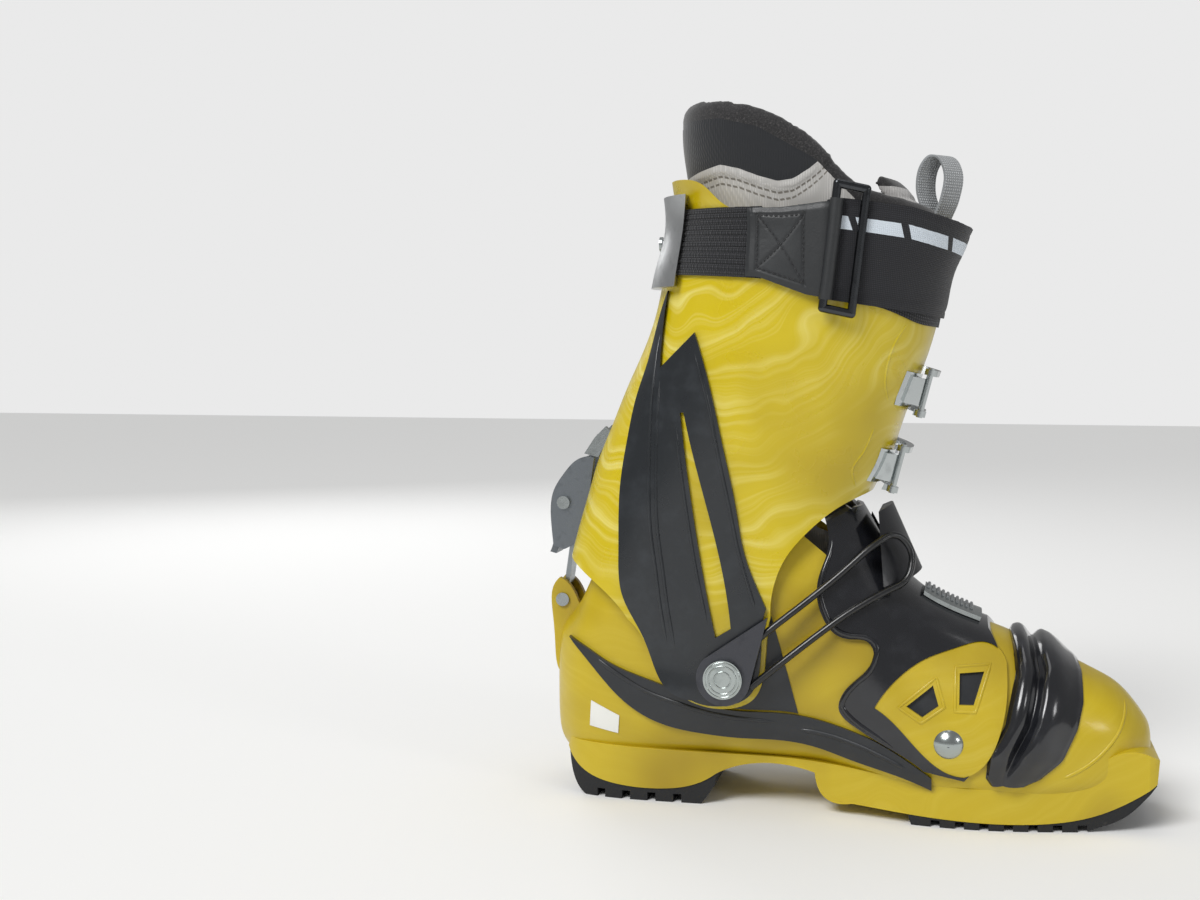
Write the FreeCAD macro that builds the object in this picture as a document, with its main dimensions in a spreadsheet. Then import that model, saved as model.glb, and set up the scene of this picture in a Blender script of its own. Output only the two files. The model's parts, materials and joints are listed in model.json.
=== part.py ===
import FreeCAD, Part
import Sketcher
import math
import os
from FreeCAD import Placement, Rotation, Vector

# Touring boot for the left foot. +X points to the toe, +Y to the outer side, +Z up.
# The origin lies on the floor at mid length, in the plane that halves the boot.

DRAWN_LENGTH = 318.0     # the lines below are drawn for a boot of this length,
DRAWN_WIDTH = 105.0      # this width at the ball of the foot
DRAWN_HEIGHT = 368.0     # and this height, and are stretched to the sizes in the sheet

SIZES = {
    "sole_length": 318.0,
    "ball_width": 105.0,
    "boot_height": 368.0,
    "shell_wall": 4.5,
    "cuff_wall": 4.0,
    "liner_wall": 8.0,
    "liner_gap": 0.8,
    "liner_sole": 5.0,
    "trim_thickness": 2.2,
    "flap_thickness": 3.0,
    "panel_thickness": 2.4,
    "gusset_thickness": 0.7,
    "trim_gap": 0.05,
    "moving_gap": 0.4,
    "running_gap": 0.05,
    "board_top": 31.0,
    "pivot_x": -61.0,
    "pivot_z": 73.0,
    "pivot_radius": 4.0,
    "rivet_head_radius": 10.0,
    "rivet_head_height": 2.6,
    "nut_radius": 8.5,
    "nut_height": 2.0,
    "plate_radius": 14.0,
    "plate_thickness": 3.0,
    "cable_radius": 1.8,
    "strap_thickness": 2.6,
    "strap_lift": 0.6,
    "spur_pin_radius": 2.5,
    "bar_width": 12.0,
    "bar_thickness": 2.6,
    "cheek_thickness": 4.0,
    "lever_pin_radius": 2.0,
    "buckle_width": 17.0,
    "buckle_pin_radius": 1.6,
    "lever_length": 46.0,
    "lever_thickness": 3.0,
    "bail_thickness": 3.2,
    "bail_lift": 2.2,
    "small_rivet_radius": 4.0,
    "small_rivet_height": 1.6,
    "panel_rivet_radius": 8.0,
    "pin_hole_radius": 3.0,
    "pin_hole_spacing": 27.0,
    "lug_depth": 5.0,
    "lug_gap": 4.5,
}

doc = FreeCAD.newDocument("TouringBoot")
sheet = doc.addObject("Spreadsheet::Sheet", "Sizes")
for row, (alias, value) in enumerate(SIZES.items(), start=1):
    sheet.set(f"A{row}", alias)
    sheet.set(f"B{row}", str(value))
    sheet.setAlias(f"B{row}", alias)
doc.recompute()


def size(alias):
    """A driving size, read back from the sheet."""
    return float(getattr(sheet, alias))


LONG = size("sole_length") / DRAWN_LENGTH
WIDE = size("ball_width") / DRAWN_WIDTH
TALL = size("boot_height") / DRAWN_HEIGHT
FAR = 90.0 * WIDE        # past the boot's sides
MEDIAL, LATERAL = -1, 1
PARTS = []


def keep(item, label):
    """Name a document object as a finished sub-part."""
    item.Label = label
    PARTS.append(item)
    return item


def shaped(label, shape):
    """A sub-part whose free-form shape is computed here."""
    item = doc.addObject("Part::Feature", label)
    item.Shape = shape
    item.Placement = Placement()
    return keep(item, label)


# ---- the boot's lines ----------------------------------------------------------------

def spot(x, z):
    """A drawn point of the side view, stretched to the boot's sizes."""
    return Vector(x * LONG, 0, z * TALL)


SECTION_POINTS = 24


def rounded(centre_a, centre_b, reach, place):
    """A closed smooth section with rounded corners. reach(cosine, sine) gives the half sizes
    and the roundness of each quarter, and place(a, b) puts a point of the section in space."""
    points = []
    for step in range(SECTION_POINTS):
        turn = 2 * math.pi * step / SECTION_POINTS
        cosine = math.cos(turn)
        sine = math.sin(turn)
        half_a, half_b, power = reach(cosine, sine)
        a = centre_a + half_a * math.copysign(abs(cosine) ** (2 / power), cosine)
        b = centre_b + half_b * math.copysign(abs(sine) ** (2 / power), sine)
        points.append(place(a, b))
    curve = Part.BSplineCurve()
    curve.interpolate(points, PeriodicFlag=True, Parameters=[float(step) for step in range(SECTION_POINTS + 1)])
    return Part.Wire([curve.toShape()])


# Lower shell, heel to toe: x, bottom, top, inner and outer half width, height of the
# widest point, roundness of the upper half.
FOOT = [
    (-160, 34, 84, 9, 9, 60, 2.4), (-157, 24, 92, 19, 19, 58, 2.6), (-150, 18, 100, 28, 28, 58, 2.8),
    (-143, 15, 112, 33, 33, 60, 3.0), (-134, 14, 128, 36, 36, 62, 3.2), (-115, 14, 148, 39, 39, 66, 3.4),
    (-90, 18, 162, 42, 42, 70, 3.4), (-61, 22, 168, 46.5, 46.5, 73, 3.2), (-35, 22, 176, 46, 46, 70, 3.0),
    (-12, 20, 171, 45, 46, 62, 2.5), (4, 16, 158, 46.5, 48, 54, 2.3), (18, 12, 134, 49, 51, 46, 2.3),
    (34, 10, 115, 52, 52, 40, 2.3), (55, 9, 103, 53, 52, 36, 2.4), (78, 9, 94.5, 52, 50, 34, 2.5),
    (100, 10, 86, 49, 45, 33, 2.5), (120, 13, 77, 43.5, 37, 33, 2.5), (134, 17, 70, 37, 30, 34, 2.5),
    (144, 21, 61, 28, 21, 36, 2.4), (150, 25, 53, 19.5, 12.5, 37, 2.3), (153, 31, 46, 10, 4, 38, 2.2),
]
LOWER_ROUNDNESS = 3.0
HEEL_END, TOE_END = -115.0, 110.0     # past these, an offset also moves a section along the boot

# Cuff, ankle to shin: z, back, front, half width, roundness.
CUFF = [
    (40, -154, 36, 52, 3.2), (75, -155, 34, 52, 3.2), (105, -155.5, 26, 52, 3.0), (130, -152, 14, 52, 2.9),
    (150, -147, 8.5, 52.3, 2.7), (164, -143, 9.5, 52.8, 2.6), (180, -138.5, 17.5, 53.5, 2.5),
    (200, -130.5, 24.5, 54.5, 2.4), (220, -122.5, 31.5, 55.5, 2.35), (240, -113.5, 38.5, 56.5, 2.3),
    (262, -106, 44, 57.5, 2.25), (285, -101, 49, 58, 2.2), (310, -96, 53, 58, 2.15), (372, -82, 58, 56, 2.1),
]

lofts = {}


def foot(offset):
    """The lower shell's outer form, grown by offset."""
    key = ("foot", round(offset, 4))
    if key in lofts:
        return lofts[key]
    wires = []
    for x, low, high, inner, outer, waist, roundness in FOOT:
        if min(inner, outer) * WIDE + offset < 3.0:
            continue
        tail = min(1.0, max(0.0, (HEEL_END - x) / (HEEL_END - FOOT[0][0])))
        nose = min(1.0, max(0.0, (x - TOE_END) / (FOOT[-1][0] - TOE_END)))
        along = x * LONG + offset * (nose - tail)

        def reach(cosine, sine):
            half = (outer if cosine >= 0 else inner) * WIDE + offset
            rise = (high - waist if sine >= 0 else waist - low) * TALL + offset
            return half, rise, roundness if sine >= 0 else LOWER_ROUNDNESS

        def place(a, b):
            return Vector(along, a, b)

        wires.append(rounded(0.0, waist * TALL, reach, place))
    lofts[key] = Part.makeLoft(wires, True, False)
    return lofts[key]


def cuff(offset):
    """The cuff's outer form, grown by offset."""
    key = ("cuff", round(offset, 4))
    if key in lofts:
        return lofts[key]
    wires = []
    for z, back, front, half, roundness in CUFF:
        centre = (back + front) / 2 * LONG

        def reach(cosine, sine):
            return (front - back) / 2 * LONG + offset, half * WIDE + offset, roundness

        def place(a, b):
            return Vector(a, b, z * TALL)

        wires.append(rounded(centre, 0.0, reach, place))
    lofts[key] = Part.makeLoft(wires, True, False)
    return lofts[key]


def outline(*stretches):
    """A closed face in the side view. A stretch of two points is straight, a longer one smooth."""
    edges = []
    for stretch in stretches:
        points = [spot(*pair) for pair in stretch]
        if len(points) == 2:
            edges.append(Part.makeLine(*points))
            continue
        curve = Part.BSplineCurve()
        curve.interpolate(points)
        edges.append(curve.toShape())
    return Part.Face(Part.Wire(edges))


def polygon(*points):
    """A closed face in the side view with straight sides."""
    loop = [spot(*pair) for pair in points]
    return Part.Face(Part.makePolygon(loop + loop[:1]))


def across(face, low, high):
    """A side view face, swept across the boot from low to high."""
    solid = face.extrude(Vector(0, high - low, 0))
    solid.translate(Vector(0, low, 0))
    return solid


def side_span(side):
    """The stretch of Y that holds one side of the boot."""
    return (-FAR, 0.0) if side == MEDIAL else (0.0, FAR)


def skin(form, inner, outer, block):
    """What the block cuts out of the layer between two offsets of a form."""
    return block.common(form(outer)).cut(form(inner))


def solids(shape, least=20.0):
    """The real solids of a shape, without slivers."""
    return [solid for solid in shape.Solids if solid.Volume > least]


def surface_y(form, x, z, side):
    """Where a line across the boot at x, z leaves a form."""
    line = Part.makeLine(Vector(x, 0, z), Vector(x, side * FAR, z)).common(form)
    return side * max(abs(vertex.Y) for vertex in line.Vertexes)


def rod(radius, start, end):
    """A round bar between two points."""
    return Part.makeCylinder(radius, start.distanceToPoint(end), start, end - start)


PIVOT = Vector(size("pivot_x") * LONG, 0, size("pivot_z") * TALL)
SHELL = size("shell_wall")

# ---- lower shell ---------------------------------------------------------------------

# The underside of the yellow base, heel to toe.
BASE_HEEL = [(-152, 24), (-138, 12), (-122, 8), (-101, 7), (-81, 10), (-68, 17)]
BASE_ARCH = [(-68, 17), (-51, 23), (-35, 24), (-16, 21)]
BASE_BLOCK = [(-16, 21), (-10, 8), (4, 7)]
BASE_BALL = [(4, 7), (40, 5), (63, 4), (95, 4), (126, 9), (141, 16), (154, 25)]
BASE_TOP = [(155, 37), (135, 40), (120, 32), (99, 25), (60, 21), (0, 26), (-60, 28), (-150, 30)]

# Half widths of the sole seen from above: x, inner side, outer side.
PLAN = [(-154, 17, 17), (-146, 28, 28), (-130, 34, 34), (-100, 36, 36), (-60, 35, 38), (-30, 35, 41), (0, 40, 46),
        (30, 47, 49.5), (55, 50, 50), (80, 49, 48), (110, 43.5, 42.5), (135, 38.5, 38), (150, 37.5, 37.5)]
TOE_CORNER = [(150, 37.5), (156, 33), (158, 22), (158, 0)]
HEEL_CORNER = [(-154, 17), (-158, 9), (-159, 0)]


def smooth(points):
    """A smooth edge through the points."""
    curve = Part.BSplineCurve()
    curve.interpolate(points)
    return curve.toShape()


def sole_plan(trim):
    """The sole seen from above, with its edge drawn in by trim, swept up."""
    def edge_point(x, half, side, shift=0.0):
        return Vector(x * LONG + shift, side * max(half * WIDE - trim, 0.0), 0)

    def end(pairs, direction):
        half_turn = [edge_point(x, half, MEDIAL, -direction * trim if index else 0.0)
                     for index, (x, half) in enumerate(pairs)]
        return smooth(half_turn + [Vector(point.x, -point.y, 0) for point in reversed(half_turn[:-1])])

    inner = smooth([edge_point(x, medial, MEDIAL) for x, medial, lateral in PLAN])
    outer = smooth([edge_point(x, lateral, LATERAL) for x, medial, lateral in PLAN])
    wire = Part.Wire(Part.__sortEdges__([inner, end(TOE_CORNER, 1), outer, end(HEEL_CORNER, -1)]))
    return Part.Face(wire).extrude(Vector(0, 0, 80 * TALL))


base = across(outline(BASE_HEEL, BASE_ARCH, BASE_BLOCK, BASE_BALL, [(154, 25), (155, 37)], BASE_TOP,
                      [(-150, 30), (-152, 24)]), -FAR, FAR).common(sole_plan(0.0))

# The spur at the back of the heel carries the lock bar between two ears.
SPUR_PIN = spot(-158, 103)
SPUR_HALF = size("bar_width") / 2 + size("moving_gap") + size("cheek_thickness")
spur = across(outline([(-150, 60), (-159, 62), (-162.5, 78), (-164, 96), (-163.5, 110), (-160, 115)],
                      [(-160, 115), (-154, 111), (-150, 104), (-146, 96)], [(-146, 96), (-146, 60)],
                      [(-146, 60), (-150, 60)]), -SPUR_HALF, SPUR_HALF)
SLOT_HALF = size("bar_width") / 2 + size("moving_gap")
spur_slot = across(polygon((-172, 92), (-149, 92), (-149, 130), (-172, 130)), -SLOT_HALF, SLOT_HALF)

cavity = foot(-SHELL)
leg_hole = across(outline([(-127, 119), (-118, 106), (-100, 100)], [(-100, 100), (-30, 118), (-4, 134)],
                          [(-4, 134), (10, 160), (20, 200)], [(20, 200), (-150, 200)], [(-150, 200), (-127, 119)]),
                  -37 * WIDE, 37 * WIDE)
throat = across(outline([(-6, 130), (62, 84)], [(62, 84), (62, 130)], [(62, 130), (-6, 200)], [(-6, 200), (-6, 130)]),
                -14 * WIDE, 14 * WIDE)
PIVOT_HOLE = size("pivot_radius") + size("trim_gap")


def pivot_bore(radius):
    """A round bar across the whole boot on the ankle axis."""
    return rod(radius, PIVOT + Vector(0, -FAR, 0), PIVOT + Vector(0, FAR, 0))


CUFF_HALF = 52.0 * WIDE
SHELL_HALF = 46.5 * WIDE
RIVET_FOOT = SHELL_HALF - SHELL - size("nut_height")
NUT_POCKETS = [rod(size("nut_radius") + size("trim_gap"), PIVOT + Vector(0, side * (RIVET_FOOT - 3), 0),
                   PIVOT + Vector(0, side * (RIVET_FOOT + size("nut_height")), 0)) for side in (MEDIAL, LATERAL)]
shell_body = foot(0).fuse([base, spur])
lower_shell = shell_body.cut([cavity, leg_hole, throat, spur_slot, pivot_bore(PIVOT_HOLE)])
lower_shell = lower_shell.cut(NUT_POCKETS)
lower_shell = lower_shell.cut(rod(size("spur_pin_radius") + size("trim_gap"), SPUR_PIN + Vector(0, -SPUR_HALF, 0),
                                  SPUR_PIN + Vector(0, SPUR_HALF, 0)))
shaped("lower_shell", lower_shell)

# ---- pieces of the lower shell -------------------------------------------------------

TRIM = size("trim_gap")
FLAP_OUT = size("flap_thickness")
PANEL_TOP = [(15, 60), (24, 73), (39, 85), (56, 91), (69, 93), (76, 90), (80, 84)]
PANEL_FRONT = [(80, 84), (80, 66), (76, 47), (70, 35), (60, 28)]
PANEL_BACK = [(60, 28), (51, 30), (42, 36), (29, 49), (15, 60)]
panel_face = outline(PANEL_TOP, PANEL_FRONT, PANEL_BACK)
WINDOWS = [polygon((31, 62), (44, 73), (47, 63), (39, 57)), polygon((57, 79), (69, 80), (64, 64), (57, 64))]
PANEL_RIVET = spot(52, 44)

flap_face = outline(
    [(-16, 162), (-11, 150), (-10, 139), (-14, 126), (-15, 116), (-11, 103), (-5, 96), (2, 94), (11, 93), (14, 89),
     (11, 79), (4, 72), (-1, 66), (-3, 58), (6, 49), (21, 41), (40, 30)],
    [(40, 30), (60, 26)], [(60, 26), (66, 34), (73, 47), (77, 66), (77, 86), (71, 98)],
    [(71, 98), (60, 190)], [(60, 190), (-16, 190)], [(-16, 190), (-16, 162)])
panel_room = across(panel_face, -FAR, FAR)
flap = skin(foot, TRIM, FLAP_OUT, across(flap_face, -FAR, FAR)).cut([panel_room, base])
flap_reach = rod(104.8 * TALL, PIVOT + Vector(0, -FAR, 0), PIVOT + Vector(0, FAR, 0))
flap_front = across(polygon((0.8, 20), (90, 20), (90, 158.8), (0.8, 158.8)), -FAR, FAR)
shaped("instep_flap", flap.common(flap_reach.fuse(flap_front)))

RIVET_SEAT = {}
for side, word in ((MEDIAL, "medial"), (LATERAL, "lateral")):
    low, high = side_span(side)
    panel = skin(foot, TRIM, TRIM + size("panel_thickness"), across(panel_face, low, high)).cut(base)
    for window in WINDOWS:
        panel = panel.cut(across(window, low, high))
    RIVET_SEAT[side] = surface_y(foot(TRIM + size("panel_thickness")), PANEL_RIVET.x, PANEL_RIVET.z, side)
    shaped(f"metatarsal_panel_{word}", panel)

BELLOWS_BACK = [(77, 112), (84, 91), (85, 79), (80, 55), (72, 39), (71, 28), (76, 24)]
BELLOWS_FRONT = [(87, 25), (96, 28), (107, 38), (114, 54), (117, 67), (117, 80), (113, 90), (104, 104)]
bellows_face = outline(BELLOWS_BACK, [(76, 24), (87, 25)], BELLOWS_FRONT, [(104, 104), (77, 112)])
bellows = skin(foot, TRIM, size("flap_thickness"), across(bellows_face, -FAR, FAR)).cut([base, panel_room])
shaped("toe_bellows", max(bellows.Solids, key=lambda solid: solid.Volume))

RAIL_TOP = [(-150, 86), (-141, 83), (-126, 75), (-107, 68), (-91, 63), (-75, 57), (-54, 54), (-34, 54), (-23, 53),
            (-1, 48), (19, 41), (32, 34), (44, 26)]
RAIL_FOOT = [(44, 19), (25, 26), (3, 31), (-14, 36), (-34, 39), (-54, 39), (-74, 40), (-90, 42), (-105, 47),
             (-120, 57), (-133, 70), (-150, 86)]
rail_face = outline(RAIL_TOP, [(44, 26), (44, 19)], RAIL_FOOT)
rail_room = across(rail_face, -FAR, FAR)
gusset_face = outline([(-92, 64), (-75, 58), (-54, 55), (-34, 55), (-24, 54)], [(-24, 54), (-30, 76), (-38, 104)],
                      [(-38, 104), (-60, 118)], [(-60, 118), (-100, 104), (-92, 64)])
WASHER_RADIUS = size("plate_radius") - 3.0
for side, word in ((MEDIAL, "medial"), (LATERAL, "lateral")):
    low, high = side_span(side)
    rail = skin(foot, TRIM, size("trim_thickness"), across(rail_face, low, high)).cut([base, spur, panel_room])
    rail = rail.cut(across(flap_face, low, high))
    shaped(f"side_rail_{word}", max(rail.Solids, key=lambda solid: solid.Volume))
    gusset = skin(foot, TRIM, size("gusset_thickness"), across(gusset_face, low, high))
    gusset = gusset.cut([pivot_bore(WASHER_RADIUS + TRIM), rail_room])
    shaped(f"ankle_gusset_{word}", max(gusset.Solids, key=lambda solid: solid.Volume))

# ---- soles ---------------------------------------------------------------------------

def lugs(places, depth):
    """Grooves across the sole between its lugs, and one along it."""
    width = size("lug_gap")
    cuts = [Part.makeBox(width, 2 * FAR, depth, Vector(x * LONG - width / 2, -FAR, -0.5)) for x in places]
    start = places[0] * LONG
    cuts.append(Part.makeBox((places[-1] - places[0]) * LONG, width, depth - 1.0, Vector(start, -width / 2, -0.5)))
    return cuts


heel_face = outline([(-151, 23), (-149, 12), (-144, 3), (-140, 0)], [(-140, 0), (-76, 0)], [(-76, 0), (-69, 10)],
                    [(-69, 10), (-68, 17)], list(reversed(BASE_HEEL))[:-1] + [(-151, 23)])
heel = across(heel_face, -FAR, FAR).common(sole_plan(0.6)).cut(lugs([-131, -117, -103, -89], size("lug_depth")))
shaped("heel_outsole", heel.cut([base, foot(0)]))
ball_face = outline([(154, 24), (148, 17), (140, 9), (128, 3), (116, 0)], [(116, 0), (34, 0)], [(34, 0), (30, 12)],
                    [(30, 12), (60, 12)], [(60, 12), (154, 24)])
ball = across(ball_face, -FAR, FAR).common(sole_plan(0.6)).cut(lugs([46, 58, 70, 82, 94, 106, 118, 130], 4.0))
PIN_PLATE_AT = spot(112, 0) + Vector(0, 0, 1.2)
plate_room = Part.makeBox(20.4, 46.4, 10, PIN_PLATE_AT + Vector(-10.2, -23.2, -10 + 2.85))
shaped("forefoot_outsole", ball.cut([base, foot(0), plate_room]))

# ---- cuff ----------------------------------------------------------------------------

CUFF_WALL = size("cuff_wall")
CUFF_REAR = [(-175, 140), (-150, 129), (-135, 120), (-124, 112), (-113, 100)]
CUFF_SIDE = [(-113, 100), (-101, 84), (-90, 66), (-79, 59), (-61, 56), (-46, 62), (-41, 76), (-38, 104)]
CUFF_ARCH = [(-38, 104), (-37, 118), (-30, 136), (-20, 148), (-7, 159), (10, 167), (30, 170)]
CUFF_TOP = [(90, 297), (10, 299), (-40, 307), (-66, 317), (-76, 326), (-86, 329), (-125, 330)]
cuff_face = outline(CUFF_REAR, CUFF_SIDE, CUFF_ARCH, [(30, 170), (90, 190)], [(90, 190), (90, 297)], CUFF_TOP,
                    [(-125, 330), (-175, 140)])
cuff_block = across(cuff_face, -FAR, FAR)
FRONT = [(-20, 150), (100, 150), (100, 340), (-20, 340)]
OVERLAP = 16.0 * WIDE
slit = across(polygon(*FRONT), 4 * WIDE, 4 * WIDE + OVERLAP)
tongue_room = across(polygon(*FRONT), -6 * WIDE, 4 * WIDE + OVERLAP + 1.5)
under_flap = skin(cuff, -2 * CUFF_WALL - 0.2, -CUFF_WALL - 0.2, cuff_block.common(tongue_room))
seam = skin(cuff, -2 * CUFF_WALL - 0.2, 0.0, cuff_block.common(
    across(polygon(*FRONT), 4 * WIDE + OVERLAP, 4 * WIDE + OVERLAP + 1.5)))
cuff_ring = skin(cuff, -CUFF_WALL, 0.0, cuff_block)
bar_notch = across(polygon((-190, 90), (-110, 90), (-120, 160), (-190, 160)), -SLOT_HALF - 0.8, SLOT_HALF + 0.8)
spur_notch = across(polygon((-190, 90), (-110, 90), (-118, 142), (-190, 142)), -SPUR_HALF - 1.6, SPUR_HALF + 1.6)
upper_cuff = cuff_ring.cut([slit, bar_notch, spur_notch]).fuse([under_flap, seam])
upper_cuff = upper_cuff.cut(pivot_bore(size("pivot_radius") + size("running_gap")))

OVERLAY_BACK = [(-95, 272), (-102, 250), (-105, 236), (-111, 216), (-115, 194), (-118, 170), (-118, 136),
                (-116, 114), (-104, 91), (-91, 65), (-78, 60)]
OVERLAY_FOOT = [(-78, 60), (-61, 58), (-48, 64), (-43, 78), (-40, 109)]
OVERLAY_FRONT = [(-40, 109), (-44, 118), (-51, 136), (-56, 162), (-62, 190), (-68, 217), (-78, 250)]
overlay_face = outline(OVERLAY_BACK, OVERLAY_FOOT, OVERLAY_FRONT, [(-78, 250), (-97, 232)],
                       [(-97, 232), (-97, 250), (-95, 272)])
SLOT_BACK = [(-85, 209), (-80, 171), (-74, 133), (-66, 93)]
SLOT_FRONT = [(-58, 98), (-64, 134), (-73, 169), (-83, 209)]
slot_face = outline(SLOT_BACK, [(-66, 93), (-58, 98)], SLOT_FRONT, [(-83, 209), (-85, 209)])
for side, word in ((MEDIAL, "medial"), (LATERAL, "lateral")):
    low, high = side_span(side)
    overlay = skin(cuff, TRIM, size("trim_thickness"), across(overlay_face, low, high).cut(across(slot_face, low, high)))
    overlay = overlay.cut(pivot_bore(size("pivot_radius") + size("moving_gap")))
    shaped(f"cuff_overlay_{word}", overlay)
around_plate = across(polygon((-80, 50), (-30, 50), (-30, 110), (-80, 110)), -FAR, FAR)
overlay_reach = overlay.common(around_plate).BoundBox.YMax

shaped("upper_cuff", upper_cuff)

# ---- boot board and liner ------------------------------------------------------------

FIT = size("liner_gap")
LINER_OUT = -SHELL - FIT
LINER_IN = LINER_OUT - size("liner_wall")
BOARD_TOP = size("board_top") * TALL
low_box = Part.makeBox(400 * LONG, 2 * FAR, BOARD_TOP, Vector(-200 * LONG, -FAR, 0))
high_box = Part.makeBox(400 * LONG, 2 * FAR, 300 * TALL, Vector(-200 * LONG, -FAR, BOARD_TOP + 0.3))
shaped("boot_board", foot(LINER_OUT).common(low_box))

nut_room = pivot_bore(size("nut_radius") + 1.0).cut(foot(-SHELL - size("nut_height") - 0.6))
mouth = across(outline([(-124, 119), (-116, 108), (-98, 104)], [(-98, 104), (-30, 122), (-4, 136)],
                       [(-4, 136), (8, 160), (20, 200)], [(20, 200), (-150, 200)], [(-150, 200), (-124, 119)]),
               -30 * WIDE, 30 * WIDE)
foot_room = Part.makeBox(400 * LONG, 2 * FAR, 300 * TALL,
                         Vector(-200 * LONG, -FAR, BOARD_TOP + 0.3 + size("liner_sole")))
liner_foot = foot(LINER_OUT).common(high_box).cut([foot(LINER_IN).common(foot_room), mouth, nut_room])
shaped("liner_foot", max(liner_foot.Solids, key=lambda solid: solid.Volume))

LEG_OUT = -2 * CUFF_WALL - 0.2 - FIT
LEG_IN = LEG_OUT - size("liner_wall") + 2.0
leg_face = outline([(-150, 184), (60, 184)], [(60, 184), (60, 300)],
                   [(60, 300), (24, 318), (4, 324), (-18, 346), (-46, 362), (-66, 367), (-90, 368)],
                   [(-90, 368), (-150, 368)], [(-150, 368), (-150, 184)])
leg_block = across(leg_face, -FAR, FAR)
shaped("liner_cuff", skin(cuff, LEG_IN, LEG_OUT, leg_block))
tongue_face = outline([(2, 296), (60, 296)], [(60, 296), (60, 330)], [(60, 330), (36, 328), (12, 330)],
                      [(12, 330), (2, 296)])
tongue = skin(cuff, LEG_IN - 6.0, LEG_IN - 0.3, across(tongue_face, -24 * WIDE, 24 * WIDE))
shaped("liner_tongue", max(tongue.Solids, key=lambda solid: solid.Volume))

# ---- power strap ---------------------------------------------------------------------

STRAP_IN = size("strap_lift")
STRAP_OUT = STRAP_IN + size("strap_thickness")
STRAP_TOP = [(-130, 314), (-90, 314), (-33, 313), (-3, 316), (30, 312), (60, 304)]
STRAP_FOOT = [(90, 252), (52, 257), (20, 262), (-1, 265), (-20, 268), (-44, 277), (-94, 280), (-130, 281)]
strap_face = outline(STRAP_TOP, [(60, 304), (90, 299)], [(90, 299), (90, 252)], STRAP_FOOT,
                     [(-130, 281), (-130, 314)])
strap_form = skin(cuff, STRAP_IN, STRAP_OUT, across(strap_face, -FAR, FAR))
TAB_BACK, RING_X, SEWN_X = -44.0, 0.0, -62.0


def strap_part(label, back, front, low, high):
    """The length of the strap between two places along the boot."""
    box = across(polygon((back, 240), (front, 240), (front, 330), (back, 330)), low, high)
    shaped(label, strap_form.common(box))


ring_half = 2.6
rear_box = across(polygon((-130, 240), (TAB_BACK, 240), (TAB_BACK, 330), (-130, 330)), -FAR, 0)
rear_far = across(polygon((-130, 240), (SEWN_X, 240), (SEWN_X, 330), (-130, 330)), 0, FAR)
shaped("power_strap_webbing", strap_form.common(rear_box.fuse(rear_far)))
strap_part("power_strap_tab", TAB_BACK, RING_X - ring_half, -FAR, 0)
front_box = across(polygon((RING_X + ring_half, 240), (100, 240), (100, 330), (RING_X + ring_half, 330)), -FAR, 0)
front_far = across(polygon((SEWN_X, 240), (100, 240), (100, 330), (SEWN_X, 330)), 0, FAR)
RING_WIRE = 2.2
RING_CORNERS = []
for corner in (spot(-12, 262), spot(2, 259), spot(9, 320), spot(-5, 323)):
    strap_y = surface_y(cuff(STRAP_OUT), corner.x, corner.z, MEDIAL)
    RING_CORNERS.append(corner + Vector(0, strap_y - RING_WIRE - 0.9, 0))


def ring_of(radius):
    """The strap's ring, bent from wire of this radius."""
    ring = Part.makeSphere(radius, RING_CORNERS[0])
    for start, end in zip(RING_CORNERS, RING_CORNERS[1:] + RING_CORNERS[:1]):
        ring = ring.fuse([rod(radius, start, end), Part.makeSphere(radius, end)])
    return ring


shaped("power_strap_ring", ring_of(RING_WIRE))
shaped("power_strap_front", strap_form.common(front_box.fuse(front_far)).cut(ring_of(RING_WIRE + TRIM)))

bracket_face = outline([(-130, 322), (-84, 321)], [(-84, 321), (-90, 274)], [(-90, 274), (-130, 273)],
                       [(-130, 273), (-130, 322)])
channel_face = outline([(-140, 316.5), (-70, 316.5)], [(-70, 316.5), (-78, 278.5)], [(-78, 278.5), (-140, 279.5)],
                       [(-140, 279.5), (-140, 316.5)])
bracket = skin(cuff, TRIM, STRAP_OUT + 2.4, across(bracket_face, -FAR, FAR))
channel = skin(cuff, TRIM - 1.0, STRAP_OUT + 0.4, across(channel_face, -FAR, FAR))
shaped("strap_retainer", bracket.cut(channel))

# ---- ankle pivot ---------------------------------------------------------------------

def alias_sum(measure):
    """The value of one alias, or of several added up, or of a plain number."""
    if isinstance(measure, float):
        return measure
    return sum(size(alias) for alias in measure)


def bound(target, path, measure):
    """Bind a property to its cells, where it has cells."""
    if not isinstance(measure, float):
        target.setExpression(path, " + ".join(f"Sizes.{alias}" for alias in measure))


def origin_plane(body, role):
    """One of the body's own origin planes."""
    return next(feature for feature in body.Origin.OriginFeatures if feature.Role == role)


def new_sketch(body, name, role):
    """An empty sketch on one of the body's origin planes."""
    sketch = body.newObject("Sketcher::SketchObject", name)
    sketch.AttachmentSupport = [(origin_plane(body, role), "")]
    sketch.MapMode = "FlatFace"
    return sketch


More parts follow.
